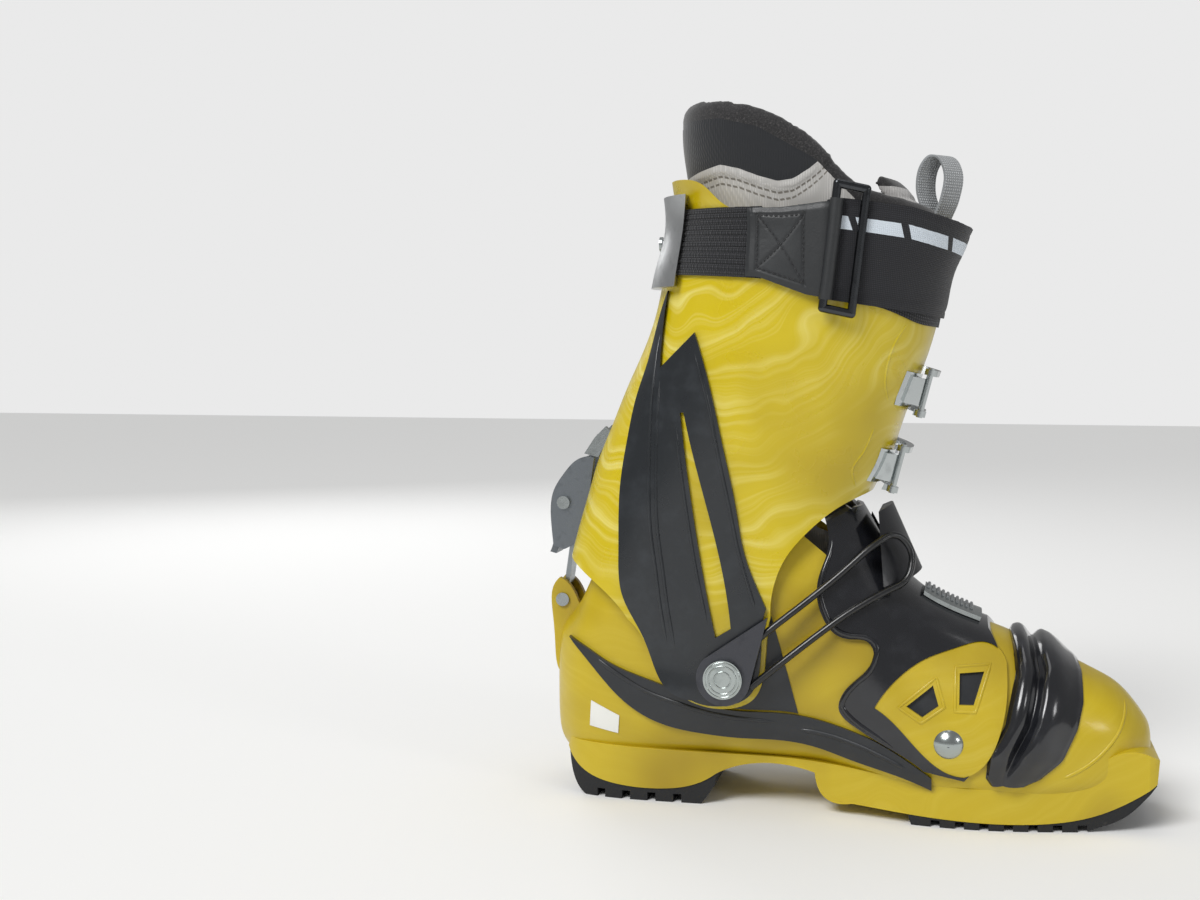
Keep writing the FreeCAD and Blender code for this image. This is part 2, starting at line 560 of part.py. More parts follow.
def turned(name, steps):
    """A stepped round piece about its own Z axis: each step is a radius and a height."""
    body = doc.addObject("PartDesign::Body", name)
    sketch = new_sketch(body, f"{name}_profile", "XZ_Plane")
    corners = [(0.0, 0.0, None, None)]
    height = 0.0
    stack = []
    for radius, rise in steps:
        value = alias_sum(radius)
        corners.append((value, height, radius, tuple(stack)))
        height += alias_sum(rise)
        stack = stack + list(rise) if not isinstance(rise, float) else stack + [rise]
        corners.append((value, height, radius, tuple(stack)))
    corners.append((0.0, height, None, None))
    count = len(corners)
    for index in range(count):
        x, y = corners[index][:2]
        next_x, next_y = corners[(index + 1) % count][:2]
        sketch.addGeometry(Part.LineSegment(Vector(x, y, 0), Vector(next_x, next_y, 0)), False)
    for index in range(count):
        sketch.addConstraint(Sketcher.Constraint("Coincident", index, 2, (index + 1) % count, 1))
    sketch.addConstraint(Sketcher.Constraint("Coincident", 0, 1, -1, 1))
    for index in range(count):
        sketch.addConstraint(Sketcher.Constraint("Vertical" if index % 2 else "Horizontal", index))
    for index in range(1, count - 1, 2):
        x, y, radius, _ = corners[index]
        place = sketch.addConstraint(Sketcher.Constraint("DistanceX", -1, 1, index, 1, x))
        bound(sketch, f"Constraints[{place}]", radius)
    for index in range(2, count, 2):
        rise = steps[index // 2 - 1][1]
        place = sketch.addConstraint(Sketcher.Constraint("DistanceY", index - 1, 1, index - 1, 2, alias_sum(rise)))
        bound(sketch, f"Constraints[{place}]", rise)
    spin = body.newObject("PartDesign::Revolution", f"{name}_turn")
    spin.Profile = sketch
    spin.ReferenceAxis = (sketch, ["V_Axis"])
    spin.Angle = 360
    sketch.Visibility = False
    return body


def facing(direction):
    """The turn that takes local Z to a direction."""
    return Rotation(Vector(0, 0, 1), direction)


PLATE_Y = overlay_reach + size("moving_gap")
SHANK = PLATE_Y + size("plate_thickness") - RIVET_FOOT - size("nut_height")
for side, word in ((MEDIAL, "medial"), (LATERAL, "lateral")):
    rivet = turned(f"ankle_rivet_{word}", [(("nut_radius",), ("nut_height",)), (("pivot_radius",), SHANK),
                                           (("rivet_head_radius",), ("rivet_head_height",))])
    rivet.Placement = Placement(PIVOT + Vector(0, side * RIVET_FOOT, 0), facing(Vector(0, side, 0)))
    keep(rivet, f"ankle_rivet_{word}")

    plate = doc.addObject("PartDesign::Body", f"ankle_plate_{word}")
    sketch = new_sketch(plate, f"plate_outline_{word}", "XZ_Plane")
    tip = spot(-38.5, 105.5) - PIVOT
    reach = size("plate_radius")
    span = math.hypot(tip.x, tip.z)
    aim = math.atan2(tip.z, tip.x)
    swing = math.acos(reach / span)
    start, end = aim + swing + 0.12, aim - swing + 2 * math.pi
    ends = [Vector(reach * math.cos(turn), reach * math.sin(turn), 0) for turn in (start, end)]
    point = Vector(tip.x, tip.z, 0)
    sketch.addGeometry(Part.ArcOfCircle(Part.Circle(Vector(0, 0, 0), Vector(0, 0, 1), reach), start, end), False)
    sketch.addGeometry(Part.LineSegment(ends[1], point), False)
    sketch.addGeometry(Part.LineSegment(point, ends[0]), False)
    sketch.addGeometry(Part.Circle(Vector(0, 0, 0), Vector(0, 0, 1), size("pivot_radius") + TRIM), False)
    sketch.addConstraint(Sketcher.Constraint("Coincident", 0, 3, -1, 1))
    sketch.addConstraint(Sketcher.Constraint("Coincident", 3, 3, -1, 1))
    rim = sketch.addConstraint(Sketcher.Constraint("Radius", 0, reach))
    sketch.setExpression(f"Constraints[{rim}]", "Sizes.plate_radius")
    hole = sketch.addConstraint(Sketcher.Constraint("Radius", 3, size("pivot_radius") + TRIM))
    sketch.setExpression(f"Constraints[{hole}]", "Sizes.pivot_radius + Sizes.trim_gap")
    pad = plate.newObject("PartDesign::Pad", f"plate_pad_{word}")
    pad.Profile = sketch
    pad.setExpression("Length", "Sizes.plate_thickness")
    pad.Reversed = side == LATERAL
    plate.Placement = Placement(PIVOT + Vector(0, side * PLATE_Y, 0), Rotation())
    keep(plate, f"ankle_plate_{word}")

washers = []
for side in (MEDIAL, LATERAL):
    start = PIVOT + Vector(0, side * (SHELL_HALF - 6), 0)
    end = PIVOT + Vector(0, side * (CUFF_HALF - CUFF_WALL - size("moving_gap")), 0)
    washers.append(rod(WASHER_RADIUS, start, end).cut([foot(TRIM), pivot_bore(PIVOT_HOLE)]))
shaped("pivot_washers", Part.makeCompound([solid for washer in washers for solid in solids(washer)]))

panel_rivets = []
for side in (MEDIAL, LATERAL):
    seat = Vector(PANEL_RIVET.x, RIVET_SEAT[side], PANEL_RIVET.z)
    head = Part.makeSphere(size("panel_rivet_radius") * 1.25, Vector(0, 0, -size("panel_rivet_radius") * 0.9))
    head = head.common(Part.makeCylinder(size("panel_rivet_radius"), 9, Vector(0, 0, -3)))
    head.Placement = Placement(seat + Vector(0, side * 0.2, 0), facing(Vector(0, side, 0)))
    panel_rivets.append(head.cut(foot(TRIM + size("panel_thickness") + 0.02)))
shaped("panel_rivets", Part.makeCompound([max(head.Solids, key=lambda solid: solid.Volume) for head in panel_rivets]))

# ---- instep cable --------------------------------------------------------------------

CABLE = size("cable_radius")
CABLE_ROUTE = [(-49, -57.6, 89), (-37, -57, 99.5), (-21, -51, 112), (-4, -45.5, 126), (12, -39, 141), (24, -31, 148),
               (33, -29, 138), (31, -34, 123), (17, -42, 117), (0, -48.5, 107), (-17, -53.5, 94), (-33, -57, 81),
               (-47, -57.8, 69)]


def corded(points, radius):
    """A round cord of straight runs joined by tangent arcs as large as the runs allow."""
    route = [Vector(x * LONG, y * WIDE, z * TALL) for x, y, z in points]
    edges = []
    at = route[0]
    for before, corner, after in zip(route, route[1:], route[2:]):
        back = (before - corner).normalize()
        ahead = (after - corner).normalize()
        run = min(before.distanceToPoint(corner), corner.distanceToPoint(after))
        turn = math.pi - back.getAngle(ahead)
        bend = 0.45 * run / math.tan(turn / 2)
        print("bend radius", round(bend, 1))
        arc_start = corner + back * (0.45 * run)
        arc_end = corner + ahead * (0.45 * run)
        middle = (back + ahead).normalize()
        centre = corner + middle * math.hypot(bend, 0.45 * run)
        edges.append(Part.makeLine(at, arc_start))
        edges.append(Part.Arc(arc_start, centre - middle * bend, arc_end).toShape())
        at = arc_end
    edges.append(Part.makeLine(at, route[-1]))
    path = Part.Wire(edges)
    ring = Part.Wire([Part.makeCircle(radius, route[0], (route[1] - route[0]).normalize())])
    tube = path.makePipeShell([ring], True, False, 2)
    print("cord", round(path.Length, 1), round(tube.Volume / (math.pi * radius ** 2 * path.Length), 4))
    return tube


cable = corded(CABLE_ROUTE, CABLE)
shaped("instep_cable", cable)

GUIDE_WIDTH = 26.0
guide_fall = Vector(0.41, 0, -0.91)
guide_out = Vector(0.91, 0, 0.41)
guide_top = spot(14, 157) + guide_out * 5.0
GUIDE_ARCH = [(-42, -30), (-38, -16), (-26, -4), (-12, 1.5), (4, 2.5), (14, 0.5)]


def guide_point(y, rise, lift):
    """A point of the guide's arch, at its upper edge."""
    return guide_top + Vector(0, y * WIDE, 0) + guide_out * (rise + lift)


arch = Part.Wire([smooth([guide_point(y, rise, 0.0) for y, rise in GUIDE_ARCH]),
                  Part.makeLine(guide_point(14, 0.5, 0.0), guide_point(14, 0.5, -16.0)),
                  Part.makeLine(guide_point(14, 0.5, -16.0), guide_point(-42, -30, -14.0)),
                  Part.makeLine(guide_point(-42, -30, -14.0), guide_point(-42, -30, 0.0))])
guide = Part.Face(arch).extrude(guide_fall * (GUIDE_WIDTH + 12))
behind_guide = across(polygon((-60, 90), (18, 90), (18.5, 119), (14.5, 160), (14, 200), (-60, 200)), -FAR, FAR)
guide = guide.cut([foot(FLAP_OUT + 0.3), behind_guide])
guide = max(guide.Solids, key=lambda solid: solid.Volume)
cable_room = corded(CABLE_ROUTE, CABLE + TRIM)
shaped("cable_guide", max(guide.cut(cable_room).Solids, key=lambda solid: solid.Volume))

# ---- walk mechanism ------------------------------------------------------------------

def primitive(kind, name, place=Vector(0, 0, 0), turn=Rotation(), **measures):
    """A Part primitive whose measures are bound to the sheet or set as plain numbers."""
    item = doc.addObject(kind, name)
    for path, measure in measures.items():
        if isinstance(measure, float):
            setattr(item, path, measure)
        else:
            item.setExpression(path, measure)
    item.Placement = Placement(place, turn)
    return item


CROSS = Rotation(Vector(1, 0, 0), 90)        # local Z to -Y
HOUSING_HALF = size("bar_width") / 2 + size("moving_gap") + 1.6 + size("cheek_thickness")
LEVER_PIN = spot(-157, 157)
housing_face = outline([(-140, 182), (-149, 181), (-157, 173), (-163, 163), (-164.5, 150), (-163, 133)],
                       [(-163, 133), (-157, 131)], [(-157, 131), (-149, 136), (-143, 158)], [(-143, 158), (-140, 182)])
housing = across(housing_face, -HOUSING_HALF, HOUSING_HALF).cut(cuff(TRIM))
CHANNEL_HALF = HOUSING_HALF - size("cheek_thickness")
channel_block = across(polygon((-190, 120), (-120, 120), (-120, 200), (-190, 200)), -CHANNEL_HALF, CHANNEL_HALF)
bridge_block = across(outline([(-128, 183), (-147, 182.5)], [(-147, 182.5), (-152, 168)], [(-152, 168), (-140, 168)],
                              [(-140, 168), (-128, 183)]), -CHANNEL_HALF, CHANNEL_HALF)
LEVER_PIN_ROOM = size("lever_pin_radius") + size("running_gap")
lever_pin_room = rod(LEVER_PIN_ROOM, LEVER_PIN + Vector(0, -FAR, 0), LEVER_PIN + Vector(0, FAR, 0))
shaped("walk_housing", Part.makeCompound(solids(housing.cut([channel_block, lever_pin_room]))))

pin_length = 2 * HOUSING_HALF + 2.0
pin = primitive("Part::Cylinder", "lever_pin_rod", LEVER_PIN + Vector(0, pin_length / 2, 0), CROSS,
                Radius="Sizes.lever_pin_radius", Height=pin_length)
pin_heads = [primitive("Part::Cylinder", f"lever_pin_head_{index}",
                       LEVER_PIN + Vector(0, end, 0), CROSS, Radius="Sizes.lever_pin_radius + 1.6", Height=1.6)
             for index, end in enumerate((HOUSING_HALF + 1.7, -HOUSING_HALF - 0.1))]
joined = doc.addObject("Part::MultiFuse", "walk_lever_pin")
joined.Shapes = [pin] + pin_heads
keep(joined, "walk_lever_pin")

lever_face = outline([(-155, 160.6), (-158, 161.2), (-161.5, 157), (-163, 148), (-163.5, 138), (-166, 129)],
                     [(-166, 129), (-162.5, 128)], [(-162.5, 128), (-159, 138), (-158, 150)],
                     [(-158, 150), (-155, 153.6), (-153.6, 157), (-155, 160.6)])
lever_half = CHANNEL_HALF - size("moving_gap")
shaped("walk_lever", across(lever_face, -lever_half, lever_half).cut(
    rod(size("lever_pin_radius") + 2 * size("running_gap"), LEVER_PIN + Vector(0, -FAR, 0),
        LEVER_PIN + Vector(0, FAR, 0))))

BAR_TOP = spot(-149.5, 163)
bar_line = BAR_TOP - SPUR_PIN
bar_turn = facing(bar_line)
bar = primitive("Part::Box", "bar_blade", SPUR_PIN, bar_turn, Length="Sizes.bar_thickness",
                Width="Sizes.bar_width", Height=bar_line.Length)
shift = bar_turn.multVec(Vector(-size("bar_thickness") / 2, -size("bar_width") / 2, 0))
bar.Placement = Placement(SPUR_PIN + shift, bar_turn)
eye_out = primitive("Part::Cylinder", "bar_eye", SPUR_PIN + Vector(0, size("bar_width") / 2, 0), CROSS,
                    Radius="Sizes.spur_pin_radius + 2.4", Height="Sizes.bar_width")
eye_in = primitive("Part::Cylinder", "bar_bore", SPUR_PIN + Vector(0, size("bar_width"), 0), CROSS,
                   Radius="Sizes.spur_pin_radius + Sizes.running_gap", Height="2 * Sizes.bar_width")
whole = doc.addObject("Part::MultiFuse", "bar_whole")
whole.Shapes = [bar, eye_out]
bored = doc.addObject("Part::Cut", "lock_bar")
bored.Base = whole
bored.Tool = eye_in
keep(bored, "lock_bar")

pin = primitive("Part::Cylinder", "spur_pin_rod", SPUR_PIN + Vector(0, SPUR_HALF + 0.5, 0), CROSS,
                Radius="Sizes.spur_pin_radius", Height=2 * SPUR_HALF + 1.0)
heads = [primitive("Part::Cylinder", f"spur_pin_head_{index}", SPUR_PIN + Vector(0, end, 0), CROSS,
                   Radius="Sizes.spur_pin_radius + 1.2", Height=1.4)
         for index, end in enumerate((SPUR_HALF + 1.45, -SPUR_HALF - 0.05))]
joined = doc.addObject("Part::MultiFuse", "heel_spur_pin")
joined.Shapes = [pin] + heads
keep(joined, "heel_spur_pin")

hook_face = outline([(-134, 199), (-140, 193)], [(-140, 193), (-146, 184)], [(-146, 184), (-138, 182)],
                    [(-138, 182), (-131, 196)], [(-131, 196), (-134, 199)])
hook = across(hook_face, -HOUSING_HALF + 2, -HOUSING_HALF + 6).fuse(
    across(hook_face, HOUSING_HALF - 6, HOUSING_HALF - 2))
hook_bar = rod(1.6, spot(-137.5, 193.5) + Vector(0, -HOUSING_HALF + 2, 0), spot(-137.5, 193.5) + Vector(0, HOUSING_HALF - 2, 0))
hook = hook.fuse(hook_bar).cut([cuff(TRIM), housing])
shaped("housing_hook", Part.makeCompound(solids(hook)))

# ---- cuff buckles --------------------------------------------------------------------

LEAN = Rotation(Vector(0, 1, 0), 14)         # local Z lies along the front of the shin
PIN = size("buckle_pin_radius")
HALF_BUCKLE = size("buckle_width") / 2
KNUCKLE = 3.2


def seat(form, start, direction):
    """The point where a ray from inside leaves a form."""
    line = Part.makeLine(start, start + direction * FAR * 2).common(form)
    return max((vertex.Point for vertex in line.Vertexes), key=lambda point: point.distanceToPoint(start))


def leaned(x, y, up=0.0):
    """A direction in the buckles' own leaning plane."""
    return LEAN.multVec(Vector(x, y, up))


def level_slab(points, middle, low, high):
    """A flat outline in the leaning plane, swept along the lean from low to high."""
    loop = [middle + leaned(x, y, low) for x, y in points]
    return Part.Face(Part.makePolygon(loop + loop[:1])).extrude(leaned(0, 0, high - low))


def lean_rod(radius, point, low, high):
    """A round bar along the lean through a point."""
    return rod(radius, point + leaned(0, 0, low), point + leaned(0, 0, high))


def flat_xy(middle, point):
    """A point's place in the leaning plane, seen from a middle."""
    local = LEAN.inverted().multVec(point - middle)
    return local.x, local.y


BUCKLES = {"upper": (228.0, 9.0), "lower": (185.0, 0.0)}
catches = []
catch_rivets = []
for word, (height, lifted) in BUCKLES.items():
    middle = spot(0, height)
    heart = middle - leaned(18 * LONG, 0)
    on_front = seat(cuff(0), heart + Vector(0, -14 * WIDE, 0), leaned(1, 0))
    catch_pin = on_front + leaned(1, -0.25).normalize() * 7.5
    on_side = seat(cuff(0), heart, leaned(0.62, 0.78).normalize())
    bail_pin = on_side + leaned(0.72, 0.69).normalize() * 11.0
    chord = (catch_pin - bail_pin)
    chord = chord - leaned(0, 0, 1) * chord.dot(leaned(0, 0, 1))
    catch_pin = bail_pin + chord
    along = Vector(chord).normalize()
    hinge = bail_pin + along * 12.0
    out = along.cross(leaned(0, 0, 1)) * -1.0
    if out.x < 0:
        out = out * -1.0

    base_face = [flat_xy(middle, point) for point in (
        hinge + out * 3.4 + along * 3.0, hinge + out * 3.4 - along * 3.0, hinge - along * 6.4 - out * 5.0,
        bail_pin - along * 16.0 - out * 7.0, bail_pin - along * 20.0 - out * 34.0, hinge - out * 30.0 + along * 10.0)]
    ears = level_slab(base_face, middle, -HALF_BUCKLE, -HALF_BUCKLE + 2.0).fuse(
        level_slab(base_face, middle, HALF_BUCKLE - 2.0, HALF_BUCKLE))
    foot_face = [flat_xy(middle, point) for point in (
        hinge + along * 10.0 + out * 6.0, hinge + along * 10.0 - out * 40.0, bail_pin - along * 22.0 - out * 40.0,
        bail_pin - along * 22.0 + out * 6.0)]
    foot_slab = level_slab(foot_face, middle, -HALF_BUCKLE, HALF_BUCKLE)
    base_foot = foot_slab.common(cuff(2.0))
    inner = HALF_BUCKLE - 2.0 - size("moving_gap")
    hinge_room = lean_rod(PIN + size("running_gap"), hinge, -30, 30)
    knuckle_reach = inner + size("moving_gap")
    knuckle_room = lean_rod(KNUCKLE + size("moving_gap"), hinge, -knuckle_reach, knuckle_reach)
    buckle_base = ears.common(foot_slab).fuse(base_foot).cut([cuff(TRIM), hinge_room, knuckle_room])
    shaped(f"cuff_buckle_base_{word}", max(buckle_base.Solids, key=lambda solid: solid.Volume))
    shaped(f"cuff_buckle_hinge_{word}", lean_rod(PIN, hinge, -HALF_BUCKLE - 0.2, HALF_BUCKLE + 0.2))

    tail_face = [flat_xy(middle, point) for point in (
        bail_pin + out * 12.0, bail_pin - along * size("lever_length") + out * 12.0,
        bail_pin - along * size("lever_length") - out * 40.0, bail_pin - out * 40.0)]
    tail = level_slab(tail_face, middle, -inner, inner).common(cuff(6.5 + size("lever_thickness"))).cut(cuff(6.5))
    link_face = [flat_xy(middle, point) for point in (
        hinge + out * 3.0, bail_pin + out * 3.2 - along * 4.0, bail_pin - along * 5.0 - out * 1.5,
        bail_pin - out * 2.4, hinge - out * 3.0)]
    lever = level_slab(link_face, middle, -inner, inner).fuse(
        [max(tail.Solids, key=lambda solid: solid.Volume), lean_rod(KNUCKLE, hinge, -inner, inner)])
    lever = lever.cut([cuff(2.0 + size("moving_gap")), lean_rod(PIN + size("running_gap"), hinge, -30, 30),
                       lean_rod(PIN + size("running_gap"), bail_pin, -30, 30)])
    shaped(f"cuff_buckle_lever_{word}", max(lever.Solids, key=lambda solid: solid.Volume))

    arm_low = HALF_BUCKLE + size("moving_gap") + 0.4
    arm_high = arm_low + size("bail_thickness")
    arm_face = [flat_xy(middle, point) for point in (
        bail_pin + out * 20.0, bail_pin - out * 20.0, catch_pin - out * 20.0, catch_pin + out * 20.0)]
    arms = []
    for start, end in ((arm_low, arm_high), (-arm_high, -arm_low)):
        band = level_slab(arm_face, middle, start, end).common(cuff(10.0)).cut(cuff(5.6))
        arms.append(max(band.Solids, key=lambda solid: solid.Volume))
        arms.append(lean_rod(3.2, bail_pin, start, end))
        arms.append(lean_rod(3.0, catch_pin, start, end))
    bail = arms[0].fuse(arms[1:] + [lean_rod(PIN, catch_pin, -arm_high - 0.6, arm_high + 0.6),
                                    lean_rod(PIN, bail_pin, -arm_high - 0.6, arm_high + 0.6)])
    bail.rotate(bail_pin, leaned(0, 0, 1), lifted)
    shaped(f"cuff_buckle_bail_{word}", bail)
    print(word, "hinge", hinge, "bail pin", bail_pin, "catch pin", catch_pin)

    tooth_face = [flat_xy(middle, point) for point in (
        catch_pin - along * 1.9 + out * 1.2, catch_pin - along * 5.4 - out * 1.0, catch_pin - along * 5.4 - out * 14.0,
        catch_pin + along * 6.0 - out * 14.0, catch_pin + along * 6.0 - out * 3.2, catch_pin + along * 2.4 - out * 4.6,
        catch_pin - along * 1.9 - out * 4.6)]
    tooth = level_slab(tooth_face, middle, -inner - 1.0, inner + 1.0)
    plate_face = [flat_xy(middle, point) for point in (
        catch_pin - along * 8.0 + out * 4, catch_pin - along * 8.0 - out * 16, catch_pin + along * 9.0 - out * 16,
        catch_pin + along * 9.0 + out * 4)]
    plate = level_slab(plate_face, middle, -inner - 3.0, inner + 3.0).common(cuff(1.8))
    catch = tooth.fuse(plate).cut(cuff(TRIM))
    catches.append(max(catch.Solids, key=lambda solid: solid.Volume))
shaped("cuff_catches", Part.makeCompound(catches))

# ---- instep and toe buckles ----------------------------------------------------------

strap_line = outline([(12, 166), (34, 134)], [(34, 134), (24, 104), (16, 84)], [(16, 84), (-4, 90)],
                     [(-4, 90), (2, 120), (12, 166)])
instep_strap = skin(foot, FLAP_OUT + 0.1, FLAP_OUT + 2.9, across(strap_line, 14.4 * WIDE, FAR))
shaped("instep_strap", max(instep_strap.cut(guide).Solids, key=lambda solid: solid.Volume))
ladder_line = outline([(41, 136), (58, 118), (68, 104)], [(68, 104), (62, 88)], [(62, 88), (50, 93), (37, 106)],
                      [(37, 106), (41, 136)])
ladder = skin(foot, FLAP_OUT + 0.4, FLAP_OUT + 2.6, across(ladder_line, -16 * WIDE, 44 * WIDE))
ladder = max(ladder.Solids, key=lambda solid: solid.Volume)
shaped("toe_ladder", ladder)

SIDE_BUCKLES = {"instep": ((4, 74), (0.24, 0.97)), "toe": ((44, 72), (0.30, 0.95))}
for word, (where, upward) in SIDE_BUCKLES.items():
    place = spot(*where)
    wall = surface_y(foot(FLAP_OUT + 0.4), place.x, place.z, LATERAL)
    up = Vector(upward[0], 0, upward[1]).normalize()
    turn = Rotation(up.cross(Vector(0, 1, 0)), up, Vector(0, 1, 0), "ZYX")
    origin = Vector(place.x, wall + 2.4, place.z)
    plate = primitive("Part::Box", f"{word}_base_plate", Length="Sizes.buckle_width", Width=26.0, Height=2.0)
    plate.Placement = Placement(origin + turn.multVec(Vector(-HALF_BUCKLE, -13, 0)), turn)
    walls = []
    for index, shift in enumerate((-HALF_BUCKLE, HALF_BUCKLE - 2.0)):
        ear = primitive("Part::Box", f"{word}_ear_{index}", Length=2.0, Width=10.0, Height=9.0)
        ear.Placement = Placement(origin + turn.multVec(Vector(shift, 2, 0)), turn)
        walls.append(ear)
    fused = doc.addObject("Part::MultiFuse", f"{word}_base_block")
    fused.Shapes = [plate] + walls
    bore = primitive("Part::Cylinder", f"{word}_base_bore", Radius="Sizes.buckle_pin_radius + Sizes.trim_gap",
                     Height=40.0)
    cross = turn.multiply(Rotation(Vector(0, 1, 0), 90))
    hinge = origin + turn.multVec(Vector(0, 7, 5.6))
    bore.Placement = Placement(hinge + cross.multVec(Vector(0, 0, -20)), cross)
    base_part = doc.addObject("Part::Cut", f"{word}_buckle_base")
    base_part.Base = fused
    base_part.Tool = bore
    keep(base_part, f"{word}_buckle_base")

    axle = primitive("Part::Cylinder", f"{word}_axle", Radius="Sizes.buckle_pin_radius",
                     Height="Sizes.buckle_width + 1")
    axle.Placement = Placement(hinge + cross.multVec(Vector(0, 0, -HALF_BUCKLE - 0.5)), cross)
    keep(axle, f"{word}_buckle_hinge")

    width = size("buckle_width") - 4.0 - 2 * size("moving_gap")
    arm = primitive("Part::Box", f"{word}_lever_arm", Length=width, Width="Sizes.lever_length - 6",
                    Height="Sizes.lever_thickness")
    arm.Placement = Placement(hinge + turn.multVec(Vector(-width / 2, 6 - size("lever_length"), -1.0)), turn)
    knuckle = primitive("Part::Cylinder", f"{word}_knuckle", Radius="Sizes.buckle_pin_radius + 1.8", Height=width)
    knuckle.Placement = Placement(hinge + cross.multVec(Vector(0, 0, -width / 2)), cross)
    fused = doc.addObject("Part::MultiFuse", f"{word}_lever_block")
    fused.Shapes = [arm, knuckle]
    bore = primitive("Part::Cylinder", f"{word}_lever_bore", Radius="Sizes.buckle_pin_radius + Sizes.running_gap",
                     Height=40.0)
    bore.Placement = Placement(hinge + cross.multVec(Vector(0, 0, -20)), cross)
    lever_part = doc.addObject("Part::Cut", f"{word}_buckle_lever")
    lever_part.Base = fused
    lever_part.Tool = bore
    keep(lever_part, f"{word}_buckle_lever")
    print(word, "hinge", hinge, "axis", cross.multVec(Vector(0, 0, 1)))

# ---- small pieces --------------------------------------------------------------------

label_face = polygon((-137, 39), (-121, 36), (-120, 46), (-136, 53))
shaped("size_label", skin(foot, TRIM, 0.5, across(label_face, -FAR, 0)).cut(base))

plate = doc.addObject("PartDesign::Body", "toe_pin_plate")
sketch = new_sketch(plate, "pin_plate_outline", "XY_Plane")
for start, end in (((-10, -23), (10, -23)), ((10, -23), (10, 23)), ((10, 23), (-10, 23)), ((-10, 23), (-10, -23))):
    sketch.addGeometry(Part.LineSegment(Vector(*start, 0), Vector(*end, 0)), False)
for index in range(4):
    sketch.addConstraint(Sketcher.Constraint("Coincident", index, 2, (index + 1) % 4, 1))
for x, y in ((-3, 1), (-3, -1), (4, 0)):
    hole = sketch.addGeometry(Part.Circle(Vector(x, y * size("pin_hole_spacing") / 2, 0), Vector(0, 0, 1),
                                          size("pin_hole_radius")), False)
    radius = sketch.addConstraint(Sketcher.Constraint("Radius", hole, size("pin_hole_radius")))
    sketch.setExpression(f"Constraints[{radius}]", "Sizes.pin_hole_radius")
pad = plate.newObject("PartDesign::Pad", "pin_plate_pad")
pad.Profile = sketch
pad.Length = 2.8
plate.Placement = Placement(PIN_PLATE_AT, Rotation())
keep(plate, "toe_pin_plate")

loop_path = [(34, 312), (31, 323), (32, 334), (37, 341), (43, 339), (46, 330), (44, 318), (40, 308)]
loop_line = smooth([spot(x, z) for x, z in loop_path])
loop_band = loop_line.extrude(Vector(9, 11, 0))
loop_band.translate(Vector(0, -15, 0))
loop_cloth = loop_band.makeOffsetShape(1.4, 0.01, fill=True)
loop_cloth = loop_cloth.cut([skin(cuff, LEG_IN - 0.3, LEG_OUT + 0.3, leg_block), tongue])
shaped("pull_loop", max(loop_cloth.Solids, key=lambda solid: solid.Volume))
screw = turned("retainer_screw", [(("small_rivet_radius",), ("small_rivet_height",))])
screw_at = seat(cuff(STRAP_OUT + 2.4), spot(-60, 298), Vector(-1, 0, 0))
screw.Placement = Placement(screw_at + Vector(-1.0, 0, 0), facing(Vector(-1, 0, 0)))
keep(screw, "retainer_screw")

doc.recompute()
for item in doc.Objects:
    if "Invalid" in item.State or "Error" in item.State:
        raise RuntimeError(f"{item.Name} failed")
for item in PARTS:
    if item.Shape.isNull() or not item.Shape.isValid():
        raise RuntimeError(f"{item.Label} is not a sound shape")
    print(item.Label, len(item.Shape.Solids), round(item.Shape.Volume / 1000, 2))
os.makedirs("parts", exist_ok=True)
for item in PARTS:
    item.Shape.exportStep(f"parts/{item.Label}.step")
print(len(PARTS), "parts")
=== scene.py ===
"""A ski touring boot: its finishes, its soft goods and its fine relief, around the fixed CAD frame."""
import json
import logging
import math
from dataclasses import dataclass
from enum import Enum
from typing import Callable, Sequence

import bpy
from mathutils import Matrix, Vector
from mathutils.bvhtree import BVHTree


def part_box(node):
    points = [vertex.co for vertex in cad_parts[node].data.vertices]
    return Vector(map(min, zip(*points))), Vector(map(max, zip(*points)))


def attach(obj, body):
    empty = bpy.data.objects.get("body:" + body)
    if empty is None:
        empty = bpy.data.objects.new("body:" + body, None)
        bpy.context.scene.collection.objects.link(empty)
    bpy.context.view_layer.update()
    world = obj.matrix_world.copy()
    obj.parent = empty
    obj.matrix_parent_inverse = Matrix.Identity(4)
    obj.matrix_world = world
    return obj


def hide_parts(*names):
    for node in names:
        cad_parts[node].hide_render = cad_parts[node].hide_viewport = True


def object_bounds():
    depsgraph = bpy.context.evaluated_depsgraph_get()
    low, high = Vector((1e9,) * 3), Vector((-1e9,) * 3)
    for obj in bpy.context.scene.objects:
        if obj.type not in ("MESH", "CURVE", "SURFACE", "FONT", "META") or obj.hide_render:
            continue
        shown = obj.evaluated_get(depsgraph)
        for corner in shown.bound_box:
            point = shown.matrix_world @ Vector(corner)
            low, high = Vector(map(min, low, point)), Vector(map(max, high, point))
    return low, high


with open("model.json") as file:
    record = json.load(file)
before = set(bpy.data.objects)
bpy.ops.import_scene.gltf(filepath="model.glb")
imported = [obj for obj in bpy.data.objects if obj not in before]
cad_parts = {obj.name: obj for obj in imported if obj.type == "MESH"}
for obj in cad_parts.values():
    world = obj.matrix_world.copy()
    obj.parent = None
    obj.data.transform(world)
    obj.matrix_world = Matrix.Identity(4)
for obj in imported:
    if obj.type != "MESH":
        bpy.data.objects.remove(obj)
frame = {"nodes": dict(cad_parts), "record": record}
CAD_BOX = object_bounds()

LOG = logging.getLogger("touring_boot")
Pair = tuple[float, float]
MM = 0.001
MEDIAL, LATERAL = -1, 1
WAVE_PERIOD = 0.314      # a wave texture of this scale repeats once in one unit


class Weave(Enum):
    """How a cloth is made."""

    WEBBING = "webbing"
    KNIT = "knit"
    FELT = "felt"


# ---- node and colour helpers --------------------------------------------------------------

